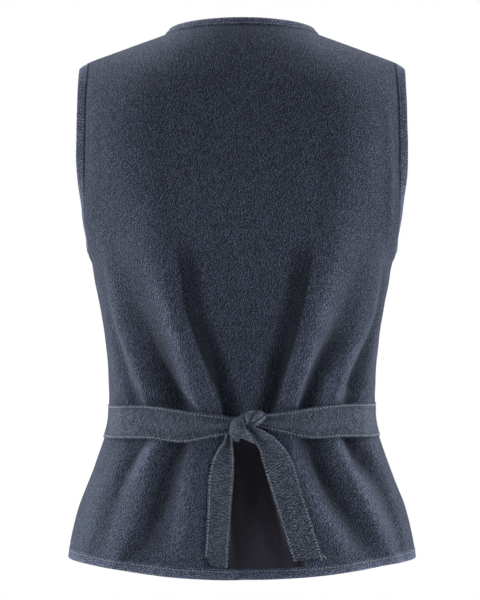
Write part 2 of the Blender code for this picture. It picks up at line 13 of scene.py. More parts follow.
import bpy
import numpy as np
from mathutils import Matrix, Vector


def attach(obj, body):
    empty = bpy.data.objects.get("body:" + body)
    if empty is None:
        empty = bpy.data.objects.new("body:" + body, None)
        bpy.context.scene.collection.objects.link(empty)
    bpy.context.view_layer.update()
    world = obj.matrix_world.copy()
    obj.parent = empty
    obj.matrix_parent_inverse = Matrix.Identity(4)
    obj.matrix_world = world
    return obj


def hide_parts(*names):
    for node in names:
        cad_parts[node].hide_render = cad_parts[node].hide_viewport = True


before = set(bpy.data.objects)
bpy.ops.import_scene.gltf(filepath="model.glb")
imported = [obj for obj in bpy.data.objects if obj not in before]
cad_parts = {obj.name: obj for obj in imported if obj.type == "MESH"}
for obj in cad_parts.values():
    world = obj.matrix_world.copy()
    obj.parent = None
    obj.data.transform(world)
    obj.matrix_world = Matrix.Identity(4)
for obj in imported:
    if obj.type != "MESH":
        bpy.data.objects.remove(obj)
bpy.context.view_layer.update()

LOG = logging.getLogger("vest")
MM = 0.001
BODY = "root"
IMAGE_LONG_SIDE = 600
HEM_ROWS = 2
Array = np.ndarray
Colour = tuple[float, float, float]
Item = bpy.types.Object
Mesh = bpy.types.Mesh
Material = bpy.types.Material
Node = bpy.types.Node
Socket = bpy.types.NodeSocket
Sockets = bpy.types.bpy_prop_collection


class Facing(Enum):
    """The two sides of the body and the way each faces along Y."""

    BACK = -1
    FRONT = 1


class Cut(Enum):
    """How a piece lies on the cloth's grain, as a turn of its weave in degrees."""

    STRAIGHT = 0.0
    BIAS = 45.0


class Level(NamedTuple):
    """Half width at the side and how far back and front stand from the side plane at a height."""

    z: float
    side_x: float
    back: float
    front: float


class Fold(NamedTuple):
    """A fold line: columns from the line before and its value at each fold level."""

    name: str
    steps: int
    shoulder: float
    blade: float
    ribs: float
    above_waist: float
    waist: float
    hip: float
    hem: float


class Crease(NamedTuple):
    """A small crease from its faint end to its strong end.

    It has a half width toward -X and one toward +X, and how far it stands out.
    """

    x: float
    z: float
    to_x: float
    to_z: float
    left: float
    right: float
    stand: float


class Tie(NamedTuple):
    """One station of a strap: place across, height and width."""

    x: float
    z: float
    width: float


class KnotPoint(NamedTuple):
    """One point of a knot's loop: place across, height and stand from the side plane."""

    x: float
    z: float
    out: float

    def place(self) -> tuple[float, float, float]:
        """The point in the vest's own axes."""
        return self.x, -self.out, self.z


class Ramp(NamedTuple):
    """A soft change: where it starts, and how far on it is whole, below zero for the other way."""

    start: float
    over: float

    def share(self, at: Array) -> Array:
        """How much of the change is made at each place."""
        return ease((at - self.start) / self.over)


class Wave(NamedTuple):
    """One slow wave over the cloth: its length, the way it runs in radians and its strength."""

    length: float
    turn: float
    part: float


class Strand(NamedTuple):
    """A loose thread end: where it starts, the way it runs, how far it bends and its length."""

    aside: float
    turn: float
    bend: float
    length: float


class Turned(NamedTuple):
    """One step of a turned outline: how far it lies in from the widest place, and its rise."""

    inset: float
    rise: float


class Lamp(NamedTuple):
    """A soft rectangular lamp: place and aim, width and height in metres, and power in watts."""

    name: str
    place: tuple[float, float, float]
    aim: tuple[float, float, float]
    wide: float
    tall: float
    power: float


LEVELS = (
    Level(-548, 184.5, 113, 112),
    Level(-533, 182.8, 112, 112),
    Level(-485, 173, 104, 108),
    Level(-443, 157, 95, 103),
    Level(-415, 147.2, 89, 99),
    Level(-391, 140.2, 86, 97),
    Level(-360, 140.2, 86.5, 98),
    Level(-317, 142.8, 90, 104),
    Level(-275, 148.9, 95.5, 112.5),
    Level(-225, 158.8, 100.8, 118.6),
    Level(-210, 160, 101.8, 119.3),
    Level(-191, 161.9, 102.6, 119),
    Level(-128, 161.8, 103, 109),
    Level(-86, 161.2, 99, 96),
    Level(-44, 160.4, 95, 84),
    Level(-15, 159.8, 92, 78),
)

FOLD_LEVELS = (-15, -217, -285, -340, -396, -446, -538)

FOLD_PLACES = (
    Fold("l3_ridge", 4, -154, -153, -140, -127, -116, -133, -165),
    Fold("l3_valley", 2, -147, -147, -134, -117, -107, -121, -153),
    Fold("l2_ridge", 2, -138, -140, -126, -105, -91, -94, -134),
    Fold("l1_valley", 3, -124, -128, -102, -76, -64, -81, -116),
    Fold("l1_ridge", 3, -104, -89, -70, -52, -45, -52, -70),
    Fold("edge_left", 3, -81, -67, -49, -28, -15, -11, -8),
    Fold("floor_left", 4, -58, -45, -38, -26, -19, -16, 0),
    Fold("centre", 3, 0, 2.5, 5.5, 7.5, 6, 9, 23),
    Fold("floor_right", 3, 58, 50, 48, 40, 31, 34, 46),
    Fold("edge_right", 4, 81, 72, 59, 42, 27, 29, 55),
    Fold("r1_ridge", 3, 104, 95, 79, 62, 50, 65, 119),
    Fold("r1_valley", 3, 122, 125, 101, 78, 67, 91, 146),
    Fold("r2_ridge", 3, 137, 143, 131, 104, 91, 113, 160),
    Fold("r2_valley", 2, 146, 149, 138, 118, 106, 137, 169),
    Fold("r3_ridge", 2, 153, 154, 143, 130, 122, 147, 175),
)

FOLD_HEIGHTS = (
    Fold("l3_ridge", 0, 0, 0, 0.5, 1.5, 1.5, 2, 1),
    Fold("l3_valley", 0, 0, 0, -0.5, -1.5, -1, -0.5, 0),
    Fold("l2_ridge", 0, 0, 0.5, 3, 5, 3, 5, 1.5),
    Fold("l1_valley", 0, 0, -1, -4.5, -7, -5, -6, -1.5),
    Fold("l1_ridge", 0, 0, 2, 4.5, 6, 4, 5, 1.5),
    Fold("edge_left", 0, 0, -1, 0.5, 1, 1, 2, 0.5),
    Fold("floor_left", 0, 0, -5, -13, -20, -29, -33, -3),
    Fold("centre", 0, 0, -6, -16, -23, -29, -34, -3.5),
    Fold("floor_right", 0, 0, -5, -13, -20, -29, -33, -3),
    Fold("edge_right", 0, 0, -1, 0.5, 1, 1, 2, 0.5),
    Fold("r1_ridge", 0, 0, 2, 4.5, 6.5, 4, 6, 1.5),
    Fold("r1_valley", 0, 0, -1, -4.5, -7, -5, -6, -1),
    Fold("r2_ridge", 0, 0, 0.5, 3, 6, 4, 6, 1.5),
    Fold("r2_valley", 0, 0, 0, -3, -6, -4, -3.5, -0.5),
    Fold("r3_ridge", 0, 0, 0, 1, 2.5, 2, 1.5, 0.5),
)

FRONT_SHARES = (0.24, 0.36, 0.50, 0.64, 0.78)
FRONT_FOLDS = (
    Fold("plain", 3, 0, 0, 0, 0, 0, 0, 0),
    Fold("valley_in", 2, 0, 0, 0, -0.5, -1, -2, -3),
    Fold("ridge_in", 2, 0, 0, 0.5, 1, 1.5, 3, 4.5),
    Fold("valley_out", 2, 0, 0, -0.5, -1.5, -2, -2.5, -3.5),
    Fold("ridge_out", 2, 0, 0, 0.5, 2, 2.5, 3, 3.5),
)

BACK_CREASES = (
    Crease(-100, -288, -48, -375, 13, 2.2, -5.4),
    Crease(-104, -330, -99, -373, 9, 1.6, -3),
    Crease(-122, -350, -119, -372, 5, 1.8, -1.8),
    Crease(-88, -340, -80, -373, 5, 5, 1.2),
    Crease(-40, -318, -30, -375, 6, 4, -1),
    Crease(98, -285, 58, -374, 2.2, 9.5, -4.8),
    Crease(126, -290, 88, -368, 5, 5, 3.3),
    Crease(88, -338, 81, -372, 4, 4, 2),
    Crease(114, -354, 111, -374, 5, 5, 1.3),
    Crease(141, -346, 124, -373, 1.8, 3.5, 1.7),
    Crease(127, -300, 110, -347, 3, 6, -3.2),
    Crease(135, -343, 117, -371, 1.3, 1.6, 1.3),
    Crease(128, -346, 124, -371, 2.5, 5, -0.9),
    Crease(48, -322, 41, -374, 4, 5, -0.9),
    Crease(-150, -500, -128, -408, 4, 4.5, -0.7),
    Crease(-128, -478, -98, -409, 5, 4, -3),
    Crease(-97, -500, -62, -409, 3.5, 5, -3.4),
    Crease(-125, -500, -85, -409, 6, 5, 2.6),
    Crease(-58, -470, -50, -411, 4, 4, 1.3),
    Crease(-40, -480, -37, -411, 5, 3, -1.4),
    Crease(104, -488, 72, -408, 4, 12, -4.6),
    Crease(62, -500, 50, -408, 5, 5, 1.6),
    Crease(139, -462, 110, -408, 5, 9, -5.2),
    Crease(88, -470, 99, -520, 6, 6, 1.5),
    Crease(116, -490, 88, -408, 5, 5, 1.2),
    Crease(144, -468, 124, -407, 4, 4, -1.4),
    Crease(-82, -200, -60, -300, 9, 7, 1.2),
    Crease(84, -200, 66, -296, 7, 9, 1.2),
    Crease(-112, -268, -152, -232, 9, 9, -1),
    Crease(114, -272, 153, -235, 9, 9, -1),
)

# Lines along the tops of the folds made paler: painted highlights, in part also rubbed wear
BACK_RUBS_AND_HIGHLIGHTS = (
    Crease(104, -208, 80, -275, 6, 6, 0.9),
    Crease(88, -255, 67, -325, 5, 5, 0.8),
    Crease(72, -310, 55, -364, 5, 5, 0.9),
    Crease(131, -278, 108, -322, 5, 5, 1),
    Crease(116, -310, 84, -363, 5, 5, 2.2),
    Crease(-97, -205, -78, -275, 6, 6, 0.5),
    Crease(-82, -268, -62, -312, 5, 5, 0.7),
    Crease(-70, -300, -50, -366, 5, 5, 0.8),
    Crease(-118, -472, -85, -408, 6, 6, 1.8),
    Crease(-90, -415, -130, -500, 6, 6, 0.6),
    Crease(-42, -408, -64, -498, 6, 6, 1.2),
    Crease(43, -404, 98, -497, 7, 7, 0.9),
    Crease(150, -490, 96, -406, 6, 6, 1.2),
    Crease(110, -430, 155, -498, 7, 7, 0.7),
    Crease(-124, -408, -159, -498, 8, 8, 0.7),
)

FRONT_CREASES = (
    Crease(84, -346, 137, -385, 6, 5, -1.6),
    Crease(84, -404, 138, -396, 5, 5, 1.2),
    Crease(90, -450, 138, -410, 5, 6, -1.6),
    Crease(102, -326, 134, -370, 6, 6, 1),
    Crease(100, -264, 154, -236, 7, 7, -1.2),
    Crease(66, -506, 60, -420, 7, 6, 1),
    Crease(92, -296, 84, -352, 8, 8, 1),
)

TIE_LEFT = (
    Tie(-140.2, -391, 34),
    Tie(-92, -388.5, 34),
    Tie(-52, -392.5, 31),
    Tie(-26, -391.5, 22),
    Tie(-5, -391, 15),
)
TIE_RIGHT = (
    Tie(139.9, -389, 34.5),
    Tie(100, -387, 34),
    Tie(62, -389, 30),
    Tie(42, -388, 22),
    Tie(15, -386, 12),
)
TIE_END_LEFT = (
    Tie(-13, -399, 6.5),
    Tie(-13.5, -406, 9),
    Tie(-16.5, -418, 18),
    Tie(-19.5, -435, 24),
    Tie(-22, -470, 24),
    Tie(-25, -529, 23),
)
TIE_END_RIGHT = (
    Tie(7, -393, 6),
    Tie(14, -399, 13),
    Tie(24.5, -409, 20),
    Tie(31, -420, 26.5),
    Tie(46, -465, 29.5),
    Tie(64, -523, 29),
)

WRAP_COLUMNS = (
    (
        KnotPoint(-5, -381.6, 100), KnotPoint(-10.4, -386.6, 100.2), KnotPoint(-12.9, -394, 99.8),
        KnotPoint(-11.9, -401, 99.6), KnotPoint(-7.6, -406.2, 99.2), KnotPoint(-3, -407.6, 98.4),
    ),
    (
        KnotPoint(-4.6, -381.3, 101.6), KnotPoint(-7.8, -386.9, 106.6), KnotPoint(-8.6, -394, 108.6),
        KnotPoint(-7.4, -400.2, 107), KnotPoint(-4.9, -404.4, 103.4), KnotPoint(-2.2, -405.8, 98.6),
    ),
    (
        KnotPoint(-4.2, -381, 102.2), KnotPoint(-2.6, -387.2, 109), KnotPoint(-1.6, -394, 111.4),
        KnotPoint(-0.8, -399.4, 109.6), KnotPoint(-0.4, -402.6, 105.2), KnotPoint(-0.6, -403.6, 98.8),
    ),
    (
        KnotPoint(-3.8, -380.8, 102.2), KnotPoint(0.6, -387.4, 108.6), KnotPoint(3, -394, 110.8),
        KnotPoint(5.4, -400, 109.2), KnotPoint(7.4, -403.8, 106.2), KnotPoint(9.2, -407.2, 102.2),
    ),
    (
        KnotPoint(-3.4, -380.6, 101.6), KnotPoint(2.4, -387.4, 107), KnotPoint(5.4, -394, 109.2),
        KnotPoint(8.8, -400.4, 107.6), KnotPoint(11.2, -404.4, 105), KnotPoint(13.2, -409.2, 101.8),
    ),
)

CORE_PINCH = KnotPoint(4.6, -391.6, 102.5)
CORE_RIM = (
    KnotPoint(-3.4, -381.2, 99),
    KnotPoint(2.2, -377.6, 99.2),
    KnotPoint(8, -375.6, 99),
    KnotPoint(14, -374.9, 98.8),
    KnotPoint(19.4, -375.8, 98.6),
    KnotPoint(23.2, -378.2, 98.4),
    KnotPoint(24.2, -381.8, 98.4),
    KnotPoint(21, -386.6, 98.6),
    KnotPoint(16, -390, 99),
    KnotPoint(10, -392.2, 100),
)

LOOSE_POINTS = 12
LOOSE_LIFT = 0.25
LOOSE_START = (-0.4, 1.2)
LOOSE_STRANDS = (
    Strand(-1.4, -0.3, 0.9, 5),
    Strand(-0.9, 0.25, -0.9, 6),
    Strand(-0.4, 0.7, 0.9, 4.6),
    Strand(0.1, 1.15, -0.9, 5.4),
)

BUTTON_PROFILE = (
    Turned(1.4, 0.1),
    Turned(0.6, 0.35),
    Turned(0, 1.5),
    Turned(0.25, 2.55),
    Turned(0.7, 3),
    Turned(1.4, 2.92),
    Turned(2.8, 2.3),
)

LAMPS = (
    Lamp("top_lamp", (0.0, 0.7, 1.5), (0.0, 0.0, -0.1), 2.2, 1.0, 36.0),
    Lamp("left_lamp", (-1.75, 0.28, 0.05), (0.0, 0.0, -0.27), 1.0, 1.9, 38.0),
    Lamp("right_lamp", (1.75, 0.34, 0.05), (0.0, 0.0, -0.27), 1.0, 1.9, 35.0),
    Lamp("near_left_lamp", (-1.4, -1.8, 0.1), (0.0, 0.0, -0.27), 1.0, 1.4, 11.3),
    Lamp("near_right_lamp", (1.4, -1.8, 0.1), (0.0, 0.0, -0.27), 1.0, 1.4, 10.2),
)

WAVES = (Wave(31.0, 0.4, 0.3), Wave(23.0, 1.9, 0.25), Wave(17.0, 2.7, 0.2), Wave(41.0, 1.2, 0.25))
WAVE_SHIFT = 3.1

CREASE_BOW = 0.06
CREASE_GROWS = Ramp(0.0, 0.85)
CREASE_STOPS = Ramp(1.3, -0.25)


def blend(start: Array, end: Array, leave: Array, arrive: Array, share: Array) -> Array:
    """A cubic from start to end.

    Args:
        start: Values at share 0.
        end: Values at share 1.
        leave: Slopes at the start, for the whole run.
        arrive: Slopes at the end, for the whole run.
        share: How far along, from 0 to 1.

    Returns:
        The values on the way.
    """
    square = share * share
    cube = square * share
    return (
        (2 * cube - 3 * square + 1) * start
        + (3 * square - 2 * cube) * end
        + (cube - 2 * square + share) * leave
        + (cube - square) * arrive
    )


def curve_through(knots: Sequence[float], values: Sequence[float], at: Array) -> Array:
    """Values of a smooth curve through knots, level beyond its ends.

    Args:
        knots: Rising places.
        values: The value at each knot, as numbers or as points.
        at: Where to read the curve.

    Returns:
        The curve's values.
    """
    knots = np.asarray(knots, float)
    values = np.asarray(values, float)
    slopes = np.gradient(values, knots, axis=0)
    at = np.clip(np.asarray(at, float), knots[0], knots[-1])
    left = np.clip(np.searchsorted(knots, at, side="right") - 1, 0, len(knots) - 2)
    run = knots[left + 1] - knots[left]
    share = (at - knots[left]) / run
    if values.ndim > 1:
        run = run[..., None]
        share = share[..., None]
    return blend(values[left], values[left + 1], slopes[left] * run, slopes[left + 1] * run, share)


def read_table(table: Sequence[NamedTuple], by: str, name: str, at: Array) -> Array:
    """A smooth curve through one named column of a table, read by the places in another."""
    rows = sorted((getattr(row, by), getattr(row, name)) for row in table)
    return curve_through(*np.array(rows, float).T, at)


def ease(share: Array) -> Array:
    """A soft step from 0 to 1."""
    share = np.clip(share, 0.0, 1.0)
    return share * share * (3.0 - 2.0 * share)


def unit(vectors: Array) -> Array:
    """Vectors at length one."""
    return vectors / np.maximum(np.linalg.norm(vectors, axis=-1, keepdims=True), 1e-9)


def run_along(points: Array) -> Array:
    """Length travelled to each point of a line."""
    steps = np.linalg.norm(np.diff(points, axis=0), axis=1)
    return np.concatenate([[0.0], np.cumsum(steps)])


def points_at(at: Array, places: Array, points: Array) -> Array:
    """Points of a line, read at places along it, from its points and their rising places."""
    return np.stack([np.interp(at, places, points[:, axis]) for axis in range(3)], axis=-1)


def uneven(x: Array, z: Array, seed: float) -> Array:
    """A slow unevenness over the cloth, about -1 to 1.

    Args:
        x: Places across, in millimetres.
        z: Heights, in millimetres.
        seed: Shifts the pattern, so that pieces differ.

    Returns:
        The unevenness at each place.
    """
    total = np.zeros_like(x)
    for number, wave in enumerate(WAVES):
        along = x * math.cos(wave.turn + seed) + z * math.sin(wave.turn + seed)
        phase = 2 * math.pi * along / wave.length + seed * (WAVE_SHIFT + number)
        total = total + wave.part * np.sin(phase)
    return total


@dataclass(frozen=True)
class SideForm:
    """One side of the body: which way it faces and how it is shaped."""

    facing: Facing
    column: str
    reach: float
    fullness: float
    fullness_above: float
    shoulder_round: float


BACK_SIDE = SideForm(Facing.BACK, "back", 55.0, 2.4, 4.0, 80.0)
FRONT_SIDE = SideForm(Facing.FRONT, "front", 46.0, 2.2, 2.8, 100.0)


@dataclass(frozen=True)
class BodyForm:
    """The plain form that the cloth hangs in, before its folds."""

    neck_x: float = 81.0
    neck_z: float = 12.8
    nape_rise: float = 3.6
    neck_back_reach: float = 68.0
    shoulder_slope: float = 0.357
    nape_round: float = 25.0
    shoulder_level: float = -60.0
    armhole_foot_z: float = -225.0
    armhole_widest_z: float = -110.0
    round_below_armhole: float = 2.0
    round_beside_armhole: float = 1.1
    flattens: Ramp = Ramp(-275.0, 165.0)
    edge_softens: float = 14.0
    seam_gap: float = 0.03
    neck_share_most: float = 0.98
    slope_step: float = 0.4

    def side_place(self, z: Array) -> Array:
        """Half width of the panels at a height."""
        return read_table(LEVELS, "z", "side_x", z)

    def armhole_share(self, z: Array) -> Array:
        """How much of its full reach the armhole's edge has at a height."""
        drop = (self.armhole_widest_z - z) / (self.armhole_widest_z - self.armhole_foot_z)
        return np.sqrt(1.0 - np.clip(drop, 0.0, 1.0) ** 2)

    def plan_depth(self, x: Array, z: Array, side: SideForm) -> Array:
        """Stand of the cloth from the side plane, before the shoulder's roll.

        Args:
            x: Places across.
            z: Heights.
            side: Back or front.

        Returns:
            The stand at each place.
        """
        deep = read_table(LEVELS, "z", side.column, z)
        flat = self.flattens.share(z)
        change = self.round_beside_armhole - self.round_below_armhole
        roundness = self.round_below_armhole + change * flat
        across = np.clip(np.abs(x) / self.side_place(z), 0.0, 1.0)
        fullness = side.fullness + (side.fullness_above - side.fullness) * flat
        softer = 1.0 + self.edge_softens * (1.0 - across)
        edge = side.reach * self.armhole_share(z) ** softer
        return edge + (deep - edge) * (1.0 - across**fullness) ** (1.0 / roundness)

    def shoulder_line(self, x: Array) -> Array:
        """Height of the shoulder seam, run on across the neck with a small rise at the nape.

        Args:
            x: Places across.

        Returns:
            The height at each place.
        """
        away = np.abs(x) / self.neck_x
        nape = self.nape_rise * np.maximum(1.0 - away**2, 0.0)
        return self.neck_z + nape - self.shoulder_slope * self.neck_x * np.maximum(away - 1.0, 0.0)

    def roll_top(self, x: Array, side: SideForm) -> tuple[Array, Array]:
        """Where the shoulder's roll ends.

        Args:
            x: Places across.
            side: Back or front.

        Returns:
            The height where the roll ends, and how tall the roll is.
        """
        away = np.abs(x)
        roll = np.full_like(away, side.shoulder_round)
        top = self.neck_z - self.shoulder_slope * (away - self.neck_x)
        if side.facing is Facing.FRONT:
            return top, roll
        inside = np.clip(1.0 - (away / self.neck_x) ** 2, 0.0, 1.0)
        roll = roll + self.nape_round * ease(inside)
        neck_depth = self.neck_back_reach * inside**0.5
        level = np.full_like(away, self.shoulder_level)
        share = neck_depth / self.plan_depth(x, level, side)
        share = np.clip(share, 0.0, self.neck_share_most)
        rise = (1.0 - np.sqrt(1.0 - share**2)) * roll
        return np.where(away < self.neck_x, self.shoulder_line(x) + rise, top), roll

    def cloth_depth(self, x: Array, z: Array, side: SideForm) -> Array:
        """Stand of the plain cloth from the side plane, rolled over at the shoulder.

        Args:
            x: Places across.
            z: Heights.
            side: Back or front.

        Returns:
            The stand at each place.
        """
        top, roll = self.roll_top(x, side)
        share = np.clip((top - z) / roll, 0.0, 1.0)
        rolled = np.sqrt(1.0 - (1.0 - share) ** 2)
        return np.maximum(self.plan_depth(x, z, side) * rolled, self.seam_gap / 2)

    def points(self, x: Array, z: Array, side: SideForm, height: Array) -> Array:
        """Points of the cloth, moved out from the plain form.

        Args:
            x: Places across.
            z: Heights.
            side: Back or front.
            height: How far to move out.

        Returns:
            The points, in millimetres.
        """
        depth = self.cloth_depth(x, z, side)
        limit = self.side_place(z)
        right = np.minimum(x + self.slope_step, limit)
        left = np.maximum(x - self.slope_step, -limit)
        rise = self.cloth_depth(right, z, side) - self.cloth_depth(left, z, side)
        slope = rise / (right - left)
        length = np.sqrt(1.0 + slope**2)
        sign = side.facing.value
        return np.stack(
            [x - slope / length * height, sign * depth + sign / length * height, z], axis=-1
        )


FORM = BodyForm()


@dataclass
class Face:
    """A grid of points on a piece's face.

    It has outward directions, places on the flat cloth, which may say how much painted shade each has,
    and how far each point stands out, from -1 in a deep fold to 1 on a ridge, with painted shade and
    highlights added on the back.
    """

    points: Array
    out: Array
    weave: Array
    ridge: Array

    def above_hem(self) -> "Face":
        """The face without its hem rows."""
        grids = (self.points, self.out, self.weave, self.ridge)
        return Face(*(grid[HEM_ROWS:] for grid in grids))

    def mirrored(self) -> "Face":
        """The same face on the other side of the body."""
        turn = np.array([-1.0, 1.0, 1.0])
        return Face(self.points * turn, self.out * turn, self.weave * turn[:2], self.ridge)


def outward(points: Array, facing: Facing) -> Array:
    """Directions out of a grid's face, kept in the seam plane along its seams.

    Args:
        points: Rows and columns of points.
        facing: The side of the body.

    Returns:
        A direction for each point.
    """
    up = np.gradient(points, axis=0)
    along = np.gradient(points, axis=1)
    normals = unit(np.cross(along, up))
    middle = normals[len(points) // 3, points.shape[1] // 2]
    if middle[1] * facing.value < 0:
        normals = -normals
    on_seam = np.abs(points[..., 1]) < 2 * FORM.seam_gap
    normals[..., 1] = np.where(on_seam, 0.0, normals[..., 1])
    return unit(normals)


def edge_out(edge: Array, along: Array, inner: Array, out: Array) -> Array:
    """Directions out of a panel along its edge, read over the last few millimetres.

    Args:
        edge: Points of the edge.
        along: A direction in the panel that runs with the edge, for each point.
        inner: Points a little way into the panel.
        out: Directions out of the panel, which say which way is out.

    Returns:
        A direction for each point of the edge.
    """
    found = unit(np.cross(along, inner - edge))
    found = found * np.sign((found * out).sum(axis=1, keepdims=True))
    on_seam = np.abs(edge[:, 1]) < 2 * FORM.seam_gap
    found[:, 1] = np.where(on_seam, 0.0, found[:, 1])
    return unit(found)


def flat_places(points: Array, facing: Facing) -> Array:
    """Places of a grid's points on the flat cloth, by the lengths between them.

    Args:
        points: Rows and columns of points.
        facing: The side of the body, which says the way that the cloth is read.

    Returns:
        Places across and along the cloth, in millimetres.
    """
    across = np.linalg.norm(np.diff(points, axis=1), axis=2)
    first = np.zeros((len(points), 1))
    place = np.concatenate([first, np.cumsum(across, axis=1)], axis=1)
    place = place - place[:, place.shape[1] // 2][:, None]
    climb = np.median(np.linalg.norm(np.diff(points, axis=0), axis=2), axis=1)
    height = np.concatenate([[0.0], np.cumsum(climb)])[:, None] + np.zeros_like(place)
    return np.stack([-facing.value * place, height], axis=-1)


def crease_stand(x: Array, z: Array, creases: Sequence[Crease]) -> Array:
    """How far the given creases move the cloth out.

    Args:
        x: Places across.
        z: Heights.
        creases: The creases.

    Returns:
        The move at each place.
    """
    total = np.zeros_like(x)
    for crease in creases:
        run = np.array([crease.to_x - crease.x, crease.to_z - crease.z])
        length = float(np.hypot(*run))
        share = ((x - crease.x) * run[0] + (z - crease.z) * run[1]) / length**2
        over = ((x - crease.x) * run[1] - (z - crease.z) * run[0]) / length * np.sign(run[1])
        over = over + CREASE_BOW * length * np.sin(math.pi * np.clip(share, 0.0, 1.0))
        width = np.where(over > 0, crease.right, crease.left)
        fade = CREASE_GROWS.share(share) * CREASE_STOPS.share(share)
        total = total + crease.stand * fade * np.exp(-((over / width) ** 2))
    return total


def new_object(name: str, mesh: Mesh, smooth_to: float = 50.0) -> Item:
    """Links a mesh into the scene with smooth faces up to an angle.

    Args:
        name: The piece's name.
        mesh: Its mesh.
        smooth_to: The angle, in degrees, up to which faces blend.

    Returns:
        The new object.
    """
    mesh.shade_smooth()
    mesh.set_sharp_from_angle(angle=math.radians(smooth_to))
    item = bpy.data.objects.new(name, mesh)
    bpy.context.scene.collection.objects.link(item)
    return item


def new_mesh(name: str, points: Array, faces: list) -> Mesh:
    """A mesh from points in millimetres.

    Args:
        name: The mesh's name.
        points: Its points.
        faces: Corners of each face.

    Returns:
        The mesh, in metres.
    """
    mesh = bpy.data.meshes.new(name)
    mesh.from_pydata((points * MM).tolist(), [], faces)
    mesh.update()
    return mesh


def set_cloth_places(mesh: Mesh, weave: Array, ridge: Array) -> None:
    """Stores each point's place on the flat cloth and its stand.

    Args:
        mesh: The mesh.
        weave: Places on the flat cloth, in millimetres, with or without how much painted shade each has.
        ridge: Stands, from -1 to 1.
    """
    flat = weave.reshape(-1, weave.shape[-1])
    places = np.zeros((len(flat), 3))
    places[:, : flat.shape[1]] = flat
    held = mesh.attributes.new("weave", "FLOAT_VECTOR", "POINT")
    held.data.foreach_set("vector", places.astype(np.float32).ravel())
    stand = mesh.attributes.new("ridge", "FLOAT", "POINT")
    stand.data.foreach_set("value", ridge.astype(np.float32).ravel())


def cloth_shell(
    name: str, face: Face, thickness: float, outside: Material, inside: Material
) -> Item:
    """A thin closed shell of cloth.

    Args:
        name: The piece's name.
        face: Its outer face.
        thickness: Thickness of the cloth.
        outside: Material of the outer face and the rim.
        inside: Material of the inner face.

    Returns:
        The new object.
    """
    rows, columns = face.points.shape[:2]
    layer = rows * columns
    index = np.arange(layer).reshape(rows, columns)
    corners = np.stack([index[:-1, :-1], index[:-1, 1:], index[1:, 1:], index[1:, :-1]], axis=-1)
    corners = corners.reshape(-1, 4)
    flat = face.points.reshape(-1, 3)
    middle = corners[len(corners) // 3 + columns // 2]
    normal = np.cross(flat[middle[1]] - flat[middle[0]], flat[middle[3]] - flat[middle[0]])
    turned = float(normal @ face.out.reshape(-1, 3)[middle[0]]) < 0
    outer = corners[:, ::-1] if turned else corners
    inner = outer[:, ::-1] + layer
    rim = np.concatenate([index[0, :-1], index[:-1, -1], index[-1, :0:-1], index[:0:-1, 0]])
    after = np.roll(rim, -1)
    edge = np.stack([rim, rim + layer, after + layer, after], axis=-1)
    if turned:
        edge = edge[:, ::-1]
    points = np.concatenate([flat, flat - face.out.reshape(-1, 3) * thickness])
    mesh = new_mesh(name, points, np.concatenate([outer, edge, inner]).tolist())
    # The inner face gets none of the painted shade
    behind = face.weave.copy()
    behind[..., 2:] = 0.0
    set_cloth_places(
        mesh, np.concatenate([face.weave, behind]), np.concatenate([face.ridge, face.ridge])
    )
    mesh.materials.append(outside)
    mesh.materials.append(inside)
    use = np.zeros(len(mesh.polygons), np.int32)
    use[len(outer) + len(edge) :] = 1
    mesh.polygons.foreach_set("material_index", use)
    return new_object(name, mesh)


def ring_shell(
    name: str, rings: Array, closed: bool, finish: Material, ridge: Array, cut: Cut
) -> Item:
    """A closed piece through rings of points.

    Args:
        name: The piece's name.
        rings: Rings of points along the piece.
        closed: Whether the last ring joins the first.
        finish: Its material.
        ridge: Stand of each point of a ring, from -1 to 1.
        cut: How the piece lies on the grain.

    Returns:
        The new object.
    """
    count, around = rings.shape[:2]
    index = np.arange(count * around).reshape(count, around)
    there = np.roll(index, -1, axis=0)
    beside = np.roll(index, -1, axis=1)
    across = np.roll(there, -1, axis=1)
    quads = np.stack([index, beside, across, there], axis=-1)
    if not closed:
        quads = quads[:-1]
    faces = quads.reshape(-1, 4).tolist()
    if not closed:
        faces.append(index[0, ::-1].tolist())
        faces.append(index[-1].tolist())
    if ring_volume(rings) < 0:
        faces = [corners[::-1] for corners in faces]
    mesh = new_mesh(name, rings.reshape(-1, 3), faces)
    along = run_along(rings.mean(axis=1))[:, None] + np.zeros((count, around))
    round_ring = np.linalg.norm(np.diff(rings, axis=1, append=rings[:, :1]), axis=2)
    place = np.cumsum(round_ring, axis=1) - round_ring
    turn = math.radians(cut.value)
    over = place * math.cos(turn) - along * math.sin(turn)
    down = place * math.sin(turn) + along * math.cos(turn)
    weave = np.stack([over, down], axis=-1)
    set_cloth_places(mesh, weave, np.broadcast_to(ridge, (count, around)))
    mesh.materials.append(finish)
    return new_object(name, mesh)


def ring_volume(rings: Array) -> float:
    """Signed measure of a sweep, above zero where ring and sweep turn the right way.

    Args:
        rings: Rings of points along the sweep.

    Returns:
        The measure.
    """
    middle = rings.mean(axis=1)
    along = np.gradient(middle, axis=0)
    spokes = rings - middle[:, None]
    turn = np.cross(spokes, np.roll(spokes, -1, axis=1)).sum(axis=1)
    return -float((turn * along).sum())


def oval_profile(width: float, cloth: float, sides: int, power: float) -> Array:
    """Outline of a flat strip with soft edges.

    Args:
        width: Width of the strip.
        cloth: Its thickness.
        sides: Points around it.
        power: How square its edges are.

    Returns:
        Places across and out for each point.
    """
    turn = np.arange(sides) * 2 * math.pi / sides
    wide = np.sign(np.cos(turn)) * np.abs(np.cos(turn)) ** (2 / power)
    deep = np.sign(np.sin(turn)) * np.abs(np.sin(turn)) ** (2 / 3.0)
    return np.stack([(wide + 1.0) * width / 2, (deep - 1.0) * cloth / 2], axis=1)


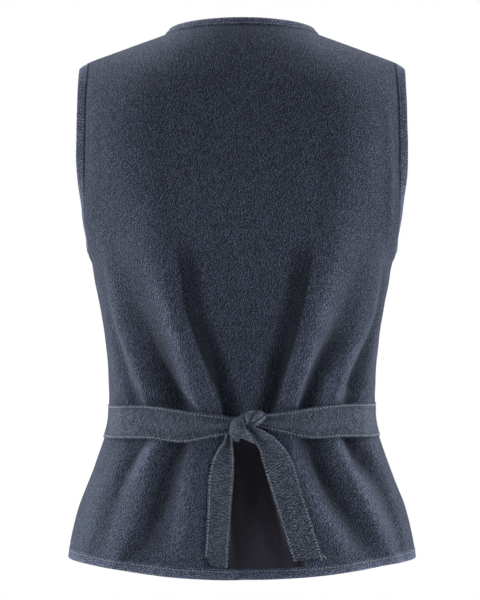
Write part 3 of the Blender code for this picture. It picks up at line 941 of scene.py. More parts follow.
class NodeSheet:
    """A short way to lay out shader nodes in one tree."""

    def __init__(self, tree: bpy.types.NodeTree) -> None:
        """Starts on a tree."""
        self.tree = tree

    def add(self, kind: str, values: Optional[dict] = None, **settings: object) -> Node:
        """Adds a node.

        Args:
            kind: The node's type name.
            values: What its inputs take, by their names or numbers.
            settings: Properties to set on it.

        Returns:
            The node.
        """
        node = self.tree.nodes.new(kind)
        for name, value in settings.items():
            setattr(node, name, value)
        self.fill(node, values or {})
        return node

    def fill(self, node: Node, values: dict) -> None:
        """Links outputs to a node's inputs, or sets the inputs' own values.

        Args:
            node: The node.
            values: Outputs, numbers or colours, by the inputs' names or numbers.
        """
        for key, value in values.items():
            if isinstance(value, Socket):
                self.tree.links.new(value, node.inputs[key])
            else:
                node.inputs[key].default_value = value

    def math(self, operation: str, *parts: object) -> Socket:
        """A number worked out from up to three others, in the operation's order."""
        return self.add("ShaderNodeMath", dict(enumerate(parts)), operation=operation).outputs[0]

    def mix(self, share: object, first: object, second: object) -> Socket:
        """A colour between two others, by its share of the second."""
        return self.add("ShaderNodeMix", {0: share, 6: first, 7: second}, data_type="RGBA").outputs[2]

    def choose(self, share: object, first: object, second: object) -> Socket:
        """A number between two others, by its share of the second."""
        return self.add("ShaderNodeMix", {0: share, 2: first, 3: second}, data_type="FLOAT").outputs[0]

    def scaled(self, colour: object, factor: object) -> Socket:
        """A colour made lighter or darker by a factor."""
        node = self.add("ShaderNodeVectorMath", {0: colour, "Scale": factor}, operation="SCALE")
        return node.outputs[0]

    def noise(self, place: object, scale: float, detail: float) -> Socket:
        """Soft noise from 0 to 1, with its scale and its number of finer layers."""
        values = {"Vector": place, "Scale": scale, "Detail": detail}
        return self.add("ShaderNodeTexNoise", values).outputs["Fac"]

    def vector(self, *parts: object) -> Socket:
        """A place from its three parts."""
        return self.add("ShaderNodeCombineXYZ", dict(enumerate(parts))).outputs[0]

    def split(self, place: object) -> list[Socket]:
        """The three parts of a place."""
        return list(self.add("ShaderNodeSeparateXYZ", {0: place}).outputs)


class SharedGroup:
    """A node group that several finishes share."""

    NAME: ClassVar[str] = ""
    INPUTS: ClassVar[dict[str, str]] = {}
    OUTPUTS: ClassVar[tuple[str, ...]] = ()

    @classmethod
    def group(cls) -> bpy.types.NodeTree:
        """The node group, made on the first call.

        Returns:
            The group.
        """
        found = bpy.data.node_groups.get(cls.NAME)
        if found:
            return found
        tree = bpy.data.node_groups.new(cls.NAME, "ShaderNodeTree")
        for name, kind in cls.INPUTS.items():
            tree.interface.new_socket(name, in_out="INPUT", socket_type=f"NodeSocket{kind}")
        for name in cls.OUTPUTS:
            tree.interface.new_socket(name, in_out="OUTPUT", socket_type="NodeSocketFloat")
        sheet = NodeSheet(tree)
        given = sheet.add("NodeGroupInput").outputs
        sheet.fill(sheet.add("NodeGroupOutput"), cls.lay_out(sheet, given))
        return tree

    @classmethod
    def lay_out(cls, sheet: NodeSheet, given: Sockets) -> dict[str, Socket]:
        """Lays out the group's nodes from what it is given, in each kind of group its own."""
        raise NotImplementedError


class TwillWeave(SharedGroup):
    """The twill that every cloth piece shares: diagonal floats, uneven yarns and pale specks."""

    NAME = "twill_weave"
    INPUTS = {"Place": "Vector", "Yarn": "Float"}
    OUTPUTS = ("Weft", "Slub", "Speck", "Height")
    REPEAT = 4.0
    SLUB_ACROSS = 1.3
    SLUB_ALONG = 0.16
    SLUB_SHIFT = 3.7
    FLOAT_WIDE = 0.8
    FLOAT_LONG = 0.9
    FLOAT_STEP = 0.25
    CONTRAST = 0.45
    DARKNESS = 2.0

    @classmethod
    def lay_out(cls, sheet: NodeSheet, given: Sockets) -> dict[str, Socket]:
        """Lays out the yarns with their heights and tones.

        Args:
            sheet: Where the nodes go.
            given: Place on the flat cloth, and width of a yarn.

        Returns:
            Where the weft shows, the yarns' unevenness, each float's tone, and the height.
        """
        across, along = sheet.split(given["Place"])[:2]
        warp = sheet.math("DIVIDE", across, given["Yarn"])
        weft = sheet.math("DIVIDE", along, given["Yarn"])
        apart = sheet.math("SUBTRACT", sheet.math("FLOOR", warp), sheet.math("FLOOR", weft))
        step = sheet.math("FLOORED_MODULO", apart, cls.REPEAT)
        weft_shows = sheet.math("LESS_THAN", step, 1.0)
        streaks = sheet.vector(
            sheet.math("MULTIPLY", across, cls.SLUB_ACROSS),
            sheet.math("MULTIPLY", along, cls.SLUB_ALONG),
            cls.SLUB_SHIFT,
        )
        return {
            "Weft": weft_shows,
            "Slub": sheet.noise(streaks, 1.0, 1.0),
            "Speck": cls.float_tone(sheet, across, along),
            "Height": sheet.choose(weft_shows, cls.crown(sheet, warp), cls.crown(sheet, weft)),
        }

    @classmethod
    def float_tone(cls, sheet: NodeSheet, across: Socket, along: Socket) -> Socket:
        """A tone for each float, set off a quarter from yarn to yarn and against both neighbours.

        Args:
            sheet: Where the nodes go.
            across: Place across the cloth.
            along: Place along it.

        Returns:
            The tone, about zero, with fewer pale floats than dark ones.
        """
        column = sheet.math("FLOOR", sheet.math("DIVIDE", across, cls.FLOAT_WIDE))
        floats = sheet.math("DIVIDE", along, cls.FLOAT_LONG)
        row = sheet.math("FLOOR", sheet.math("MULTIPLY_ADD", column, cls.FLOAT_STEP, floats))
        own, before, after = (
            cls.cell_tone(sheet, sheet.math("ADD", column, step), row) for step in (0.0, -1.0, 1.0)
        )
        beside = sheet.math("MULTIPLY", sheet.math("ADD", before, after), 0.5 * cls.CONTRAST)
        usual = (1.0 - cls.CONTRAST) / (cls.DARKNESS + 1.0)
        return sheet.math("SUBTRACT", sheet.math("SUBTRACT", own, beside), usual)

    @classmethod
    def cell_tone(cls, sheet: NodeSheet, column: Socket, row: Socket) -> Socket:
        """A random tone for one float, more often dark than pale.

        Args:
            sheet: Where the nodes go.
            column: The float's number across.
            row: Its number along.

        Returns:
            The tone, from 0 to 1.
        """
        cell = {"Vector": sheet.vector(column, row, 0.0)}
        tone = sheet.add("ShaderNodeTexWhiteNoise", cell, noise_dimensions="2D").outputs["Value"]
        return sheet.math("POWER", tone, cls.DARKNESS)

    @staticmethod
    def crown(sheet: NodeSheet, count: Socket) -> Socket:
        """A yarn's round top, from 0 at its sides to 1."""
        centred = sheet.math("MULTIPLY_ADD", sheet.math("FRACT", count), 2.0, -1.0)
        return sheet.math("SUBTRACT", 1.0, sheet.math("MULTIPLY", centred, centred))


class WashAndPaintedShade(SharedGroup):
    """Washed fade in slow clouds, with paler ridges and darker folds that are part wear and part painted
    light and shade.
    """

    NAME = "wash_and_painted_shade"
    INPUTS = {"Place": "Vector", "Ridge": "Float", "Ridge Amount": "Float", "Cloud Amount": "Float"}
    OUTPUTS = ("Fade",)
    CLOUD_SCALE = 0.035
    CLOUD_DETAIL = 3.0

    @classmethod
    def lay_out(cls, sheet: NodeSheet, given: Sockets) -> dict[str, Socket]:
        """Lays out the ridges and the clouds.

        Args:
            sheet: Where the nodes go.
            given: Place on the flat cloth, its stand, and the strength of ridges and clouds.

        Returns:
            The factor that the colour is scaled by, painted light and shade included.
        """
        cloud = sheet.noise(given["Place"], cls.CLOUD_SCALE, cls.CLOUD_DETAIL)
        clouds = sheet.math("MULTIPLY", sheet.math("SUBTRACT", cloud, 0.5), given["Cloud Amount"])
        both = sheet.math("MULTIPLY_ADD", given["Ridge"], given["Ridge Amount"], clouds)
        return {"Fade": sheet.math("ADD", 1.0, both)}


@dataclass(frozen=True)
class Finish:
    """A named finish, which makes its material."""

    name: str

    def material(self) -> Material:
        """The finish's material, made on the first call.

        Returns:
            The material.
        """
        found = bpy.data.materials.get(self.name)
        if found:
            return found
        material = bpy.data.materials.new(self.name)
        material.use_nodes = True
        self.lay_out(NodeSheet(material.node_tree), material.node_tree.nodes["Principled BSDF"])
        return material

    def lay_out(self, sheet: NodeSheet, shader: Node) -> None:
        """Lays out the material's nodes, in each kind of finish its own."""
        raise NotImplementedError


@dataclass(frozen=True)
class TwillFinish(Finish):
    """A woven cloth's colours and how uneven its yarns are."""

    warp: Colour
    weft: Colour
    yarn: float = 0.4
    slub: float = 0.4
    speck: float = 2.47
    least_speck: float = 0.06
    ridge: float = 0.45
    cloud: float = 0.3
    relief: float = 0.5
    relief_depth: float = 0.0004
    roughness: float = 0.9
    specular: float = 0.18
    sheen: float = 0.22
    sheen_roughness: float = 0.45
    sheen_colour: Colour = (0.62, 0.68, 0.86)
    # Near-black painted shade for the deep pleat between the belt's ends
    painted_shade: Colour = (0.085, 0.079, 0.108)
    painted_shade_calms: float = 10.0
    painted_shade_dims: float = 0.75

    def lay_out(self, sheet: NodeSheet, shader: Node) -> None:
        """Lays out the weave, its washed fade with painted light and shade, its relief and the calm
        painted shade of the deep pleat.

        Args:
            sheet: Where the nodes go.
            shader: The material's shader.
        """
        place = sheet.add("ShaderNodeAttribute", attribute_name="weave").outputs["Vector"]
        stand = sheet.add("ShaderNodeAttribute", attribute_name="ridge").outputs["Fac"]
        yarn = {"Place": place, "Yarn": self.yarn}
        weave = sheet.add("ShaderNodeGroup", yarn, node_tree=TwillWeave.group())
        wear = {"Place": place, "Ridge": stand, "Ridge Amount": self.ridge, "Cloud Amount": self.cloud}
        fade = sheet.add("ShaderNodeGroup", wear, node_tree=WashAndPaintedShade.group())
        # Painted shade of the deep pleat, from the weave's third part: it calms the specks, turns the
        # colour near-black and darkens the tone
        shade_share = sheet.split(place)[2]
        calm = sheet.math("MULTIPLY_ADD", shade_share, -self.painted_shade_calms, 1.0)
        calm.node.use_clamp = True
        woven = sheet.mix(weave.outputs["Weft"], (*self.warp, 1.0), (*self.weft, 1.0))
        colour = sheet.mix(calm, (*self.painted_shade, 1.0), woven)
        yarns = sheet.math("MULTIPLY_ADD", weave.outputs["Slub"], 2.0 * self.slub, 1.0 - self.slub)
        spread = sheet.math("MULTIPLY", calm, self.speck)
        specks = sheet.math("MULTIPLY_ADD", weave.outputs["Speck"], spread, 1.0)
        tone = sheet.math("MULTIPLY", yarns, sheet.math("MAXIMUM", specks, self.least_speck))
        tone = sheet.math("MULTIPLY", tone, fade.outputs["Fade"])
        tone = sheet.math("MULTIPLY", tone, sheet.math("MULTIPLY_ADD", shade_share, -self.painted_shade_dims, 1.0))
        height = sheet.math("ADD", weave.outputs["Height"], weave.outputs["Speck"])
        relief = {"Strength": self.relief, "Distance": self.relief_depth, "Height": height}
        bump = sheet.add("ShaderNodeBump", relief)
        sheet.fill(
            shader,
            {
                "Base Color": sheet.scaled(colour, tone),
                "Normal": bump.outputs["Normal"],
                "Roughness": self.roughness,
                "Specular IOR Level": self.specular,
                "Sheen Weight": self.sheen,
                "Sheen Roughness": self.sheen_roughness,
                "Sheen Tint": (*self.sheen_colour, 1.0),
            },
        )


@dataclass(frozen=True)
class ThreadFinish(Finish):
    """Twisted sewing thread."""

    colour: Colour
    shade: float = 0.45
    twist_scale: float = 420.0
    roughness: float = 0.7
    sheen: float = 0.2

    def lay_out(self, sheet: NodeSheet, shader: Node) -> None:
        """Lays out the thread's uneven colour.

        Args:
            sheet: Where the nodes go.
            shader: The material's shader.
        """
        place = sheet.add("ShaderNodeNewGeometry").outputs["Position"]
        dark = (part * self.shade for part in self.colour)
        noise = sheet.noise(place, self.twist_scale, 2.0)
        colour = sheet.mix(noise, (*dark, 1.0), (*self.colour, 1.0))
        looks = {"Base Color": colour, "Roughness": self.roughness, "Sheen Weight": self.sheen}
        sheet.fill(shader, looks)


@dataclass(frozen=True)
class ResinFinish(Finish):
    """Dark polished resin with faint clouds."""

    colour: Colour
    cloud: Colour
    cloud_scale: float = 160.0
    scratch_scale: float = 900.0
    roughness: float = 0.34
    uneven: float = 0.16

    def lay_out(self, sheet: NodeSheet, shader: Node) -> None:
        """Lays out the resin's clouds and its uneven polish.

        Args:
            sheet: Where the nodes go.
            shader: The material's shader.
        """
        place = sheet.add("ShaderNodeNewGeometry").outputs["Position"]
        clouds = sheet.noise(place, self.cloud_scale, 3.0)
        fine = sheet.noise(place, self.scratch_scale, 2.0)
        colour = sheet.mix(clouds, (*self.colour, 1.0), (*self.cloud, 1.0))
        rough = sheet.math("MULTIPLY_ADD", fine, self.uneven, self.roughness - self.uneven / 2)
        sheet.fill(shader, {"Base Color": colour, "Roughness": rough})


@dataclass(frozen=True)
class FloorFinish(Finish):
    """A pale floor that fades away between two distances from the origin, in metres."""

    near: float
    far: float
    colour: Colour = (0.86, 0.86, 0.86)
    roughness: float = 0.9

    def lay_out(self, sheet: NodeSheet, shader: Node) -> None:
        """Lays out the floor's colour and its fading edge.

        Args:
            sheet: Where the nodes go.
            shader: The material's shader.
        """
        place = sheet.add("ShaderNodeNewGeometry").outputs["Position"]
        away = sheet.add("ShaderNodeVectorMath", {0: place}, operation="LENGTH").outputs["Value"]
        span = {"From Min": self.near, "From Max": self.far, "To Min": 1.0, "To Max": 0.0}
        fade = sheet.add("ShaderNodeMapRange", {"Value": away, **span}, interpolation_type="SMOOTHSTEP")
        looks = {"Base Color": (*self.colour, 1.0), "Roughness": self.roughness}
        sheet.fill(shader, {**looks, "Alpha": fade.outputs["Result"]})


DENIM = TwillFinish("denim_face", (0.035, 0.0435, 0.070), (0.117, 0.135, 0.188), speck=2.64)
DENIM_REVERSE = TwillFinish(
    "denim_reverse", (0.160, 0.176, 0.210), (0.060, 0.070, 0.094), speck=1.32, ridge=0.1
)
BAND_DENIM = TwillFinish("denim_band", (0.065, 0.080, 0.131), (0.220, 0.249, 0.344), ridge=0.35)
BELT_DENIM = TwillFinish(
    "denim_belt", (0.051, 0.064, 0.0945), (0.194, 0.220, 0.284), yarn=0.62, speck=2.80, ridge=0.3
)
PALE_THREAD = ThreadFinish("pale_thread", (0.60, 0.66, 0.74))
BLUE_THREAD = ThreadFinish("blue_thread", (0.40, 0.44, 0.52))
DARK_THREAD = ThreadFinish("dark_thread", (0.045, 0.05, 0.065))
RESIN = ResinFinish("button_resin", (0.022, 0.026, 0.036), (0.045, 0.05, 0.064))


@dataclass(frozen=True)
class Stitching:
    """A row of machine stitches that lie on the cloth and dip in at both ends."""

    SIDES: ClassVar[int] = 6
    TIP: ClassVar[tuple[tuple[int, ...], ...]] = ((0, 1, 2, 3), (0, 3, 4, 5))

    length: float = 1.6
    gap: float = 1.8
    radius: float = 0.46
    bulge: float = 0.5
    stations: int = 5
    slimmest: float = 0.55
    sunk: float = 0.5
    smooth_to: float = 80.0

    def solids(self, path: Array, out: Array) -> tuple[Array, Array]:
        """Points and faces of the stitches along a line.

        Args:
            path: Points of the line on the cloth.
            out: Directions out of the cloth.

        Returns:
            Points, and the corners of each face.
        """
        travelled = run_along(path)
        count = max(int(travelled[-1] / (self.length + self.gap)), 1)
        starts = (np.arange(count) + 0.5) * travelled[-1] / count - self.length / 2
        share = np.linspace(0.0, 1.0, self.stations)
        at = starts[:, None] + share * self.length
        middle = points_at(at, travelled, path)
        facing = unit(points_at(at, travelled, out))
        across = unit(np.cross(unit(np.gradient(middle, axis=1)), facing))
        arch = np.sin(math.pi * share)
        middle = middle + facing * (self.bulge * arch - self.radius * self.sunk)[:, None]
        radius = self.radius * (self.slimmest + (1.0 - self.slimmest) * arch)
        turn = np.arange(self.SIDES) * 2 * math.pi / self.SIDES
        ring = np.cos(turn)[:, None] * across[:, :, None] + np.sin(turn)[:, None] * facing[:, :, None]
        points = middle[:, :, None] + ring * radius[:, None, None]
        return points.reshape(-1, 3), self.faces(count)

    def faces(self, count: int) -> Array:
        """Corners of every face of a number of stitches, with two faces on each tip.

        Args:
            count: The number of stitches.

        Returns:
            Four corners for each face.
        """
        index = np.arange(self.stations * self.SIDES).reshape(self.stations, self.SIDES)
        beside = np.roll(index, -1, axis=1)
        walls = np.stack([index[:-1], index[1:], beside[1:], beside[:-1]], axis=-1).reshape(-1, 4)
        tip = np.array(self.TIP)
        one = np.concatenate([walls, index[0][tip], index[-1][tip[:, ::-1]]])
        step = np.arange(count)[:, None, None] * index.size
        return (one + step).reshape(-1, 4)

    def sew(self, name: str, lines: Sequence[tuple[Array, Array]], finish: ThreadFinish) -> Item:
        """Sews rows of stitches as one piece.

        Args:
            name: The piece's name.
            lines: Points and outward directions of each row.
            finish: The thread.

        Returns:
            The new object.
        """
        points = []
        faces = []
        used = 0
        for path, out in lines:
            row_points, row_faces = self.solids(path, out)
            points.append(row_points)
            faces.append(row_faces + used)
            used += len(row_points)
        mesh = new_mesh(name, np.concatenate(points), np.concatenate(faces).tolist())
        mesh.materials.append(finish.material())
        item = new_object(name, mesh, self.smooth_to)
        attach(item, BODY)
        LOG.info("%s: %d faces of thread", name, len(mesh.polygons))
        return item


TOPSTITCH = Stitching()
FINE_STITCH = Stitching(length=2.2, gap=1.1, radius=0.26, bulge=0.34)
HEM_STITCH = Stitching(length=1.7, gap=1.6, radius=0.36, bulge=0.42)
BUTTONHOLE_BAR = Stitching(length=1.0, gap=0.05, radius=0.5, bulge=0.3)
LOOSE_THREAD = Stitching(length=4.2, gap=0.2, radius=0.24, bulge=0.0, stations=9)


def finish_piece(item: Item, node: str) -> None:
    """Puts a piece in its CAD node's place.

    Args:
        item: The piece.
        node: The node it stands for.
    """
    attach(item, BODY)
    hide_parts(node)
    area = sum(face.area for face in item.data.polygons) / 2
    LOG.info("%s: %d faces, %.5f m2 on one side", item.name, len(item.data.polygons), area)


@dataclass(frozen=True)
class BackFadeAndShade:
    """How the back's colour is toned: paler fold tops, part wear and part painted highlight, and painted
    light and shade at the pleat and by the belt's ends.

    Distances are across the back from a pleat edge, above zero inside the pleat.
    """

    full_stand: float = 7.0
    darkest: float = -1.3
    inside: Ramp = Ramp(0.0, 3.0)
    narrows: Ramp = Ramp(-325.0, -40.0)
    narrows_by: float = 6.0
    # Painted shade just inside the pleat's folded edges
    lip: float = 1.25
    lip_shadow_starts: Ramp = Ramp(-195.0, -40.0)
    lip_shadow_comes: Ramp = Ramp(-1.0, 2.5)
    lip_shadow_wide: float = 13.0
    lip_shadow_goes_over: float = 13.0
    lip_shadow_goes_sooner: float = 4.0
    lip_shadow_weakens: float = 0.4
    # Painted light on the middle of the pleat's floor
    floor: float = 0.9
    floor_light_starts: Ramp = Ramp(-290.0, -70.0)
    floor_light_comes: Ramp = Ramp(18.0, 10.0)
    floor_light_strengthens: float = 0.6
    # Painted highlight on the cloth just outside the pleat's edges
    rim_highlight_left: float = 0.6
    rim_highlight_right: float = 0.7
    rim_highlight_starts: Ramp = Ramp(-280.0, -50.0)
    rim_highlight_wide: float = 4.0
    # Painted shadow on the back beside and under the belt's ends
    end_shadow: float = 1.1
    end_shadow_reach: Ramp = Ramp(3.5, -3.5)
    # Painted shade of the deep pleat between the belt's ends, darker lower down and near its edges
    pleat_shadow_starts: Ramp = Ramp(-400.0, -14.0)
    pleat_shadow_comes: Ramp = Ramp(0.0, 4.0)
    slit_shade: float = 0.1
    pleat_shadow_deepens: float = 0.45
    deeper: Ramp = Ramp(-450.0, -90.0)
    deeper_at_edge: float = 1.1
    deeper_edge_wide: float = 7.0

    def tone(self, x: Array, z: Array, stand: Array, within: Array, seam: Array) -> Array:
        """How pale the cloth looks, from below -1 in the painted shade of the pleat's lips to above 1 on
        fold tops that are part worn and part painted highlight.

        Args:
            x: Places across.
            z: Heights.
            stand: How far the cloth stands out from the plain form.
            within: Distance inside the pleat.
            seam: How near each place is to a seam, from 0 to 1.

        Returns:
            The tone at each place.
        """
        low = self.narrows.share(z)
        narrower = within + self.narrows_by * low
        # Painted shade along the inside of the pleat's edges
        goes_over = self.lip_shadow_goes_over - self.lip_shadow_goes_sooner * low
        lip = self.lip_shadow_comes.share(within)
        lip = lip * (1.0 - ease((narrower - self.lip_shadow_wide) / goes_over))
        lip = lip * self.lip_shadow_starts.share(z) * (1.0 - self.lip_shadow_weakens * low)
        # Painted light on the middle of the pleat's floor
        floor = self.floor_light_comes.share(narrower) * self.floor_light_starts.share(z)
        floor = floor * (1.0 + self.floor_light_strengthens * low)
        # Painted highlight on the cloth just outside the pleat's edges
        rim = np.exp(-(((within + self.rim_highlight_wide) / self.rim_highlight_wide) ** 2)) * self.rim_highlight_starts.share(z)
        # Paler fold tops and darker hollows, part wear and part painted light and shade, with painted
        # highlights along the listed fold tops
        folds = np.clip(stand / self.full_stand, -1.0, 1.0) + crease_stand(x, z, BACK_RUBS_AND_HIGHLIGHTS)
        tone = folds * (1.0 - self.inside.share(within))
        tone = tone - self.lip * lip + self.floor * floor - seam
        tone = tone + np.where(x > 0.0, self.rim_highlight_right, self.rim_highlight_left) * rim
        # Painted shadow beside and under the belt's ends
        return np.maximum(tone - self.end_shadow * self.shadow_of_ends(x, z), self.darkest)

    def shadow_of_ends(self, x: Array, z: Array) -> Array:
        """How much painted shadow the belt's ends cast on the back beside and under them.

        Args:
            x: Places across.
            z: Heights.

        Returns:
            Shares from 0 to 1.
        """
        shares = np.zeros_like(x)
        for stations in (TIE_END_LEFT, TIE_END_RIGHT):
            away = np.abs(x - read_table(stations, "z", "x", z))
            aside = away - read_table(stations, "z", "width", z) / 2
            past = np.maximum(aside, np.maximum(stations[-1].z - z, z - stations[0].z))
            shares = np.maximum(shares, self.end_shadow_reach.share(past))
        return shares

    def pleat_shadow(self, x: Array, z: Array) -> Array:
        """Where the painted shade of the deep pleat between the belt's ends lies, as shares from 0 to 1.
        """
        inside = (x - read_table(TIE_END_LEFT, "z", "x", z), read_table(TIE_END_RIGHT, "z", "x", z) - x)
        return self.pleat_shadow_comes.share(np.array(inside)).prod(axis=0) * self.pleat_shadow_starts.share(z)

    def painted_shade(self, z: Array, within: Array) -> Array:
        """How strong the painted shade between the belt's ends is, darker lower down and near the
        pleat's edges.
        """
        edge = self.deeper_at_edge * np.exp(-((within / self.deeper_edge_wide) ** 2))
        return self.slit_shade + self.pleat_shadow_deepens * (self.deeper.share(z) + edge)


@dataclass
class Panels:
    """The back and the two fronts, each a thin shell in the form of its solid."""

    cloth: float = 1.2
    seam_dip: float = 0.7
    seam_width: float = 1.8
    hem_side_z: float = -533.0
    hem_drop: float = 11.0
    hem_drop_round: float = 1.4
    hem_band: float = 10.0
    lap: float = 16.0
    lap_lift: float = 3.2
    lap_lifts: Ramp = Ramp(56.0, -30.0)
    uneven_beyond: Ramp = Ramp(20.0, 40.0)
    unevenness: float = 0.22
    back_pattern: float = 0.6
    lapped_pattern: float = 2.2
    under_pattern: float = 4.1
    front_full_stand: float = 5.0
    neck_v_z: float = -184.0
    rows_below: int = 120
    rows_above: int = 64
    finer: int = 4
    side_steps: int = 4
    front_side_steps: int = 6
    lip_steps: int = 4
    lip: float = 0.07
    edges_part: Ramp = Ramp(-440.0, -90.0)
    parts_left: float = 5.0
    parts_right: float = 7.0
    left_edge_leaves: Ramp = Ramp(-230.0, -50.0)
    left_edge_returns: Ramp = Ramp(-322.0, -42.0)
    left_edge_out: float = 4.5
    fade_and_shade: BackFadeAndShade = BackFadeAndShade()
    back: Optional[Face] = None
    right: Optional[Face] = None
    left: Optional[Face] = None
    neck_columns: tuple[int, int] = (0, 0)

    def make(self) -> None:
        """Works out the faces and builds the three shells."""
        self.back = self.back_face()
        self.right = self.front_face(True)
        self.left = self.front_face(False).mirrored()
        outside = DENIM.material()
        inside = DENIM_REVERSE.material()
        for name, face, flat, area in (
            ("back", self.back, (0.45, 0.57), 0.226),
            ("front_right", self.right, (0.27, 0.57), 0.112),
            ("front_left", self.left, (0.27, 0.57), 0.112),
        ):
            item = cloth_shell(f"{name}_cloth", face.above_hem(), self.cloth, outside, inside)
            finish_piece(item, name)

    def neck_share(self) -> float:
        """The neck V's foot as a share of the way from the armholes' foot to the neck."""
        return (self.neck_v_z - FORM.armhole_foot_z) / (FORM.neck_z - FORM.armhole_foot_z)

    def row_shares(self) -> tuple[Array, Array]:
        """Each row's share of the way up.

        Returns:
            Shares of the rows below the armholes' foot, and of those above it.
        """
        below = np.linspace(0.0, 1.0, self.rows_below)
        turn = np.linspace(0.0, math.pi, self.rows_above + 1)[1:]
        above = (1.0 - np.cos(turn)) / 2
        above[np.argmin(np.abs(above - self.neck_share()))] = self.neck_share()
        return below, above

    def neck_row(self) -> int:
        """The row at the foot of the neck's V."""
        above = self.row_shares()[1]
        return HEM_ROWS + self.rows_below + int(np.argmin(np.abs(above - self.neck_share())))

    def row_heights(self, x: Array, side: Array) -> Array:
        """Heights of the rows: the hem band's edges, the rows below the armholes and those above.

        Args:
            x: Places across, row by row.
            side: Half width of each row.

        Returns:
            A height for each point.
        """
        below, above = self.row_shares()
        inside = 1.0 - np.clip(np.abs(x / side[:, None]), 0.0, 1.0) ** 2
        hem = self.hem_side_z - self.hem_drop * inside**self.hem_drop_round
        foot = hem + self.hem_band + FORM.seam_gap
        climb = np.concatenate([np.zeros(HEM_ROWS), below, np.ones_like(above)])[:, None]
        heights = foot + (FORM.armhole_foot_z - foot) * climb
        heights[0] = hem[0]
        heights[1] = hem[1] + self.hem_band
        first = HEM_ROWS + self.rows_below
        rise = FORM.shoulder_line(x[first:]) - FORM.armhole_foot_z
        heights[first:] = FORM.armhole_foot_z + rise * above[:, None]
        return heights

    def side_heights(self) -> Array:
        """Height of each row at the side seam or armhole edge.

        Returns:
            The heights, from the hem up.
        """
        below, above = self.row_shares()
        foot = self.hem_side_z + self.hem_band + FORM.seam_gap
        tip = FORM.shoulder_line(FORM.side_place(np.array(LEVELS[-1].z)))
        low = foot + (FORM.armhole_foot_z - foot) * below
        high = FORM.armhole_foot_z + (tip - FORM.armhole_foot_z) * above
        return np.concatenate([[self.hem_side_z, self.hem_side_z + self.hem_band], low, high])

    @staticmethod
    def at_levels(fold: Fold, heights: Array) -> Array:
        """A fold's value at each height."""
        return curve_through(FOLD_LEVELS[::-1], fold[2:][::-1], heights)

    @staticmethod
    def spline_across(keys: Array, steps: Sequence[int], still_first: bool) -> Array:
        """Points of smooth curves through each row's keys.

        Args:
            keys: Rows, keys and pairs of place and height.
            steps: Columns between each key and the next.
            still_first: Whether the curves come to a stop at the first key too.

        Returns:
            Rows, columns and pairs of place and height.
        """
        chord = np.sqrt(np.linalg.norm(np.diff(keys, axis=1), axis=2))[..., None] + 1e-6
        step = np.diff(keys, axis=1) / chord
        slopes = np.zeros_like(keys)
        slopes[:, 1:-1] = (step[:, :-1] * chord[:, 1:] + step[:, 1:] * chord[:, :-1]) / (
            chord[:, 1:] + chord[:, :-1]
        )
        if not still_first:
            slopes[:, 0] = step[:, 0]
        pieces = []
        for index, count in enumerate(steps):
            share = np.arange(count) / count
            if index == 0 and still_first:
                share = share**2
            if index == len(steps) - 1:
                share = 1.0 - (1.0 - share) ** 2
            run = chord[:, index : index + 1]
            start, end = (keys[:, key : key + 1] for key in (index, index + 1))
            leave, arrive = (slopes[:, key : key + 1] * run for key in (index, index + 1))
            pieces.append(blend(start, end, leave, arrive, share[None, :, None]))
        pieces.append(keys[:, -1:])
        return np.concatenate(pieces, axis=1)

    def back_keys(self, levels: Array, side: Array) -> tuple[Array, list[int], tuple[int, int]]:
        """The back's fold lines, from its left side to its right.

        Args:
            levels: Height of each row at its side.
            side: Half width of each row.

        Returns:
            Place and height of each line in each row, columns from each line to the next, and
            which lines are the pleat's edges.
        """
        lines = {
            place.name: np.stack([self.at_levels(place, levels), self.at_levels(height, levels)], axis=1)
            for place, height in zip(FOLD_PLACES, FOLD_HEIGHTS)
        }
        parted = self.edges_part.share(levels)
        out = self.left_edge_leaves.share(levels) * (1.0 - self.left_edge_returns.share(levels))
        lines["edge_left"][:, 0] -= self.parts_left * parted + self.left_edge_out * out
        lines["edge_right"][:, 0] += self.parts_right * parted
        for end in ("left", "right"):
            edge = lines[f"edge_{end}"]
            lines[f"lip_{end}"] = edge + (lines[f"floor_{end}"] - edge) * self.lip
        columns = {fold.name: fold.steps * self.finer for fold in FOLD_PLACES}
        columns |= {"lip_left": self.lip_steps, "lip_right": columns["edge_right"]}
        columns["edge_right"] = self.lip_steps
        names = [fold.name for fold in FOLD_PLACES]
        names.insert(names.index("floor_left"), "lip_left")
        names.insert(names.index("edge_right"), "lip_right")
        steps = [*(columns[name] for name in names), self.side_steps * self.finer]
        still = np.zeros_like(side)
        ends = [np.stack([sign * side, still], axis=1) for sign in (-1.0, 1.0)]
        keys = np.stack([ends[0], *(lines[name] for name in names), ends[1]], axis=1)
        return keys, steps, (names.index("edge_left") + 1, names.index("edge_right") + 1)

    def back_face(self) -> Face:
        """The back's outer face, with its folds, its pleat, its small creases and its painted light and
        shade.

        Returns:
            The face, its two hem rows first.
        """
        levels = self.side_heights()
        side = FORM.side_place(levels)
        keys, steps, edges = self.back_keys(levels, side)
        across = self.spline_across(keys, steps, True)
        x = across[..., 0]
        z = self.row_heights(x, side)
        stand = across[..., 1] + crease_stand(x, z, BACK_CREASES)
        stand = stand + self.unevenness * uneven(x, z, self.back_pattern)
        seam = self.seam_line(side[:, None] - np.abs(x))
        stand = stand - self.seam_dip * seam
        points = FORM.points(x, z, BACK_SIDE, stand)
        left, right = (sum(steps[:edge]) for edge in edges)
        self.neck_columns = (left, right)
        seam[:, left : right + 1] += self.seam_line(z[-1:] - z)[:, left : right + 1]
        within = np.minimum(x - keys[:, edges[0], :1], keys[:, edges[1], :1] - x)
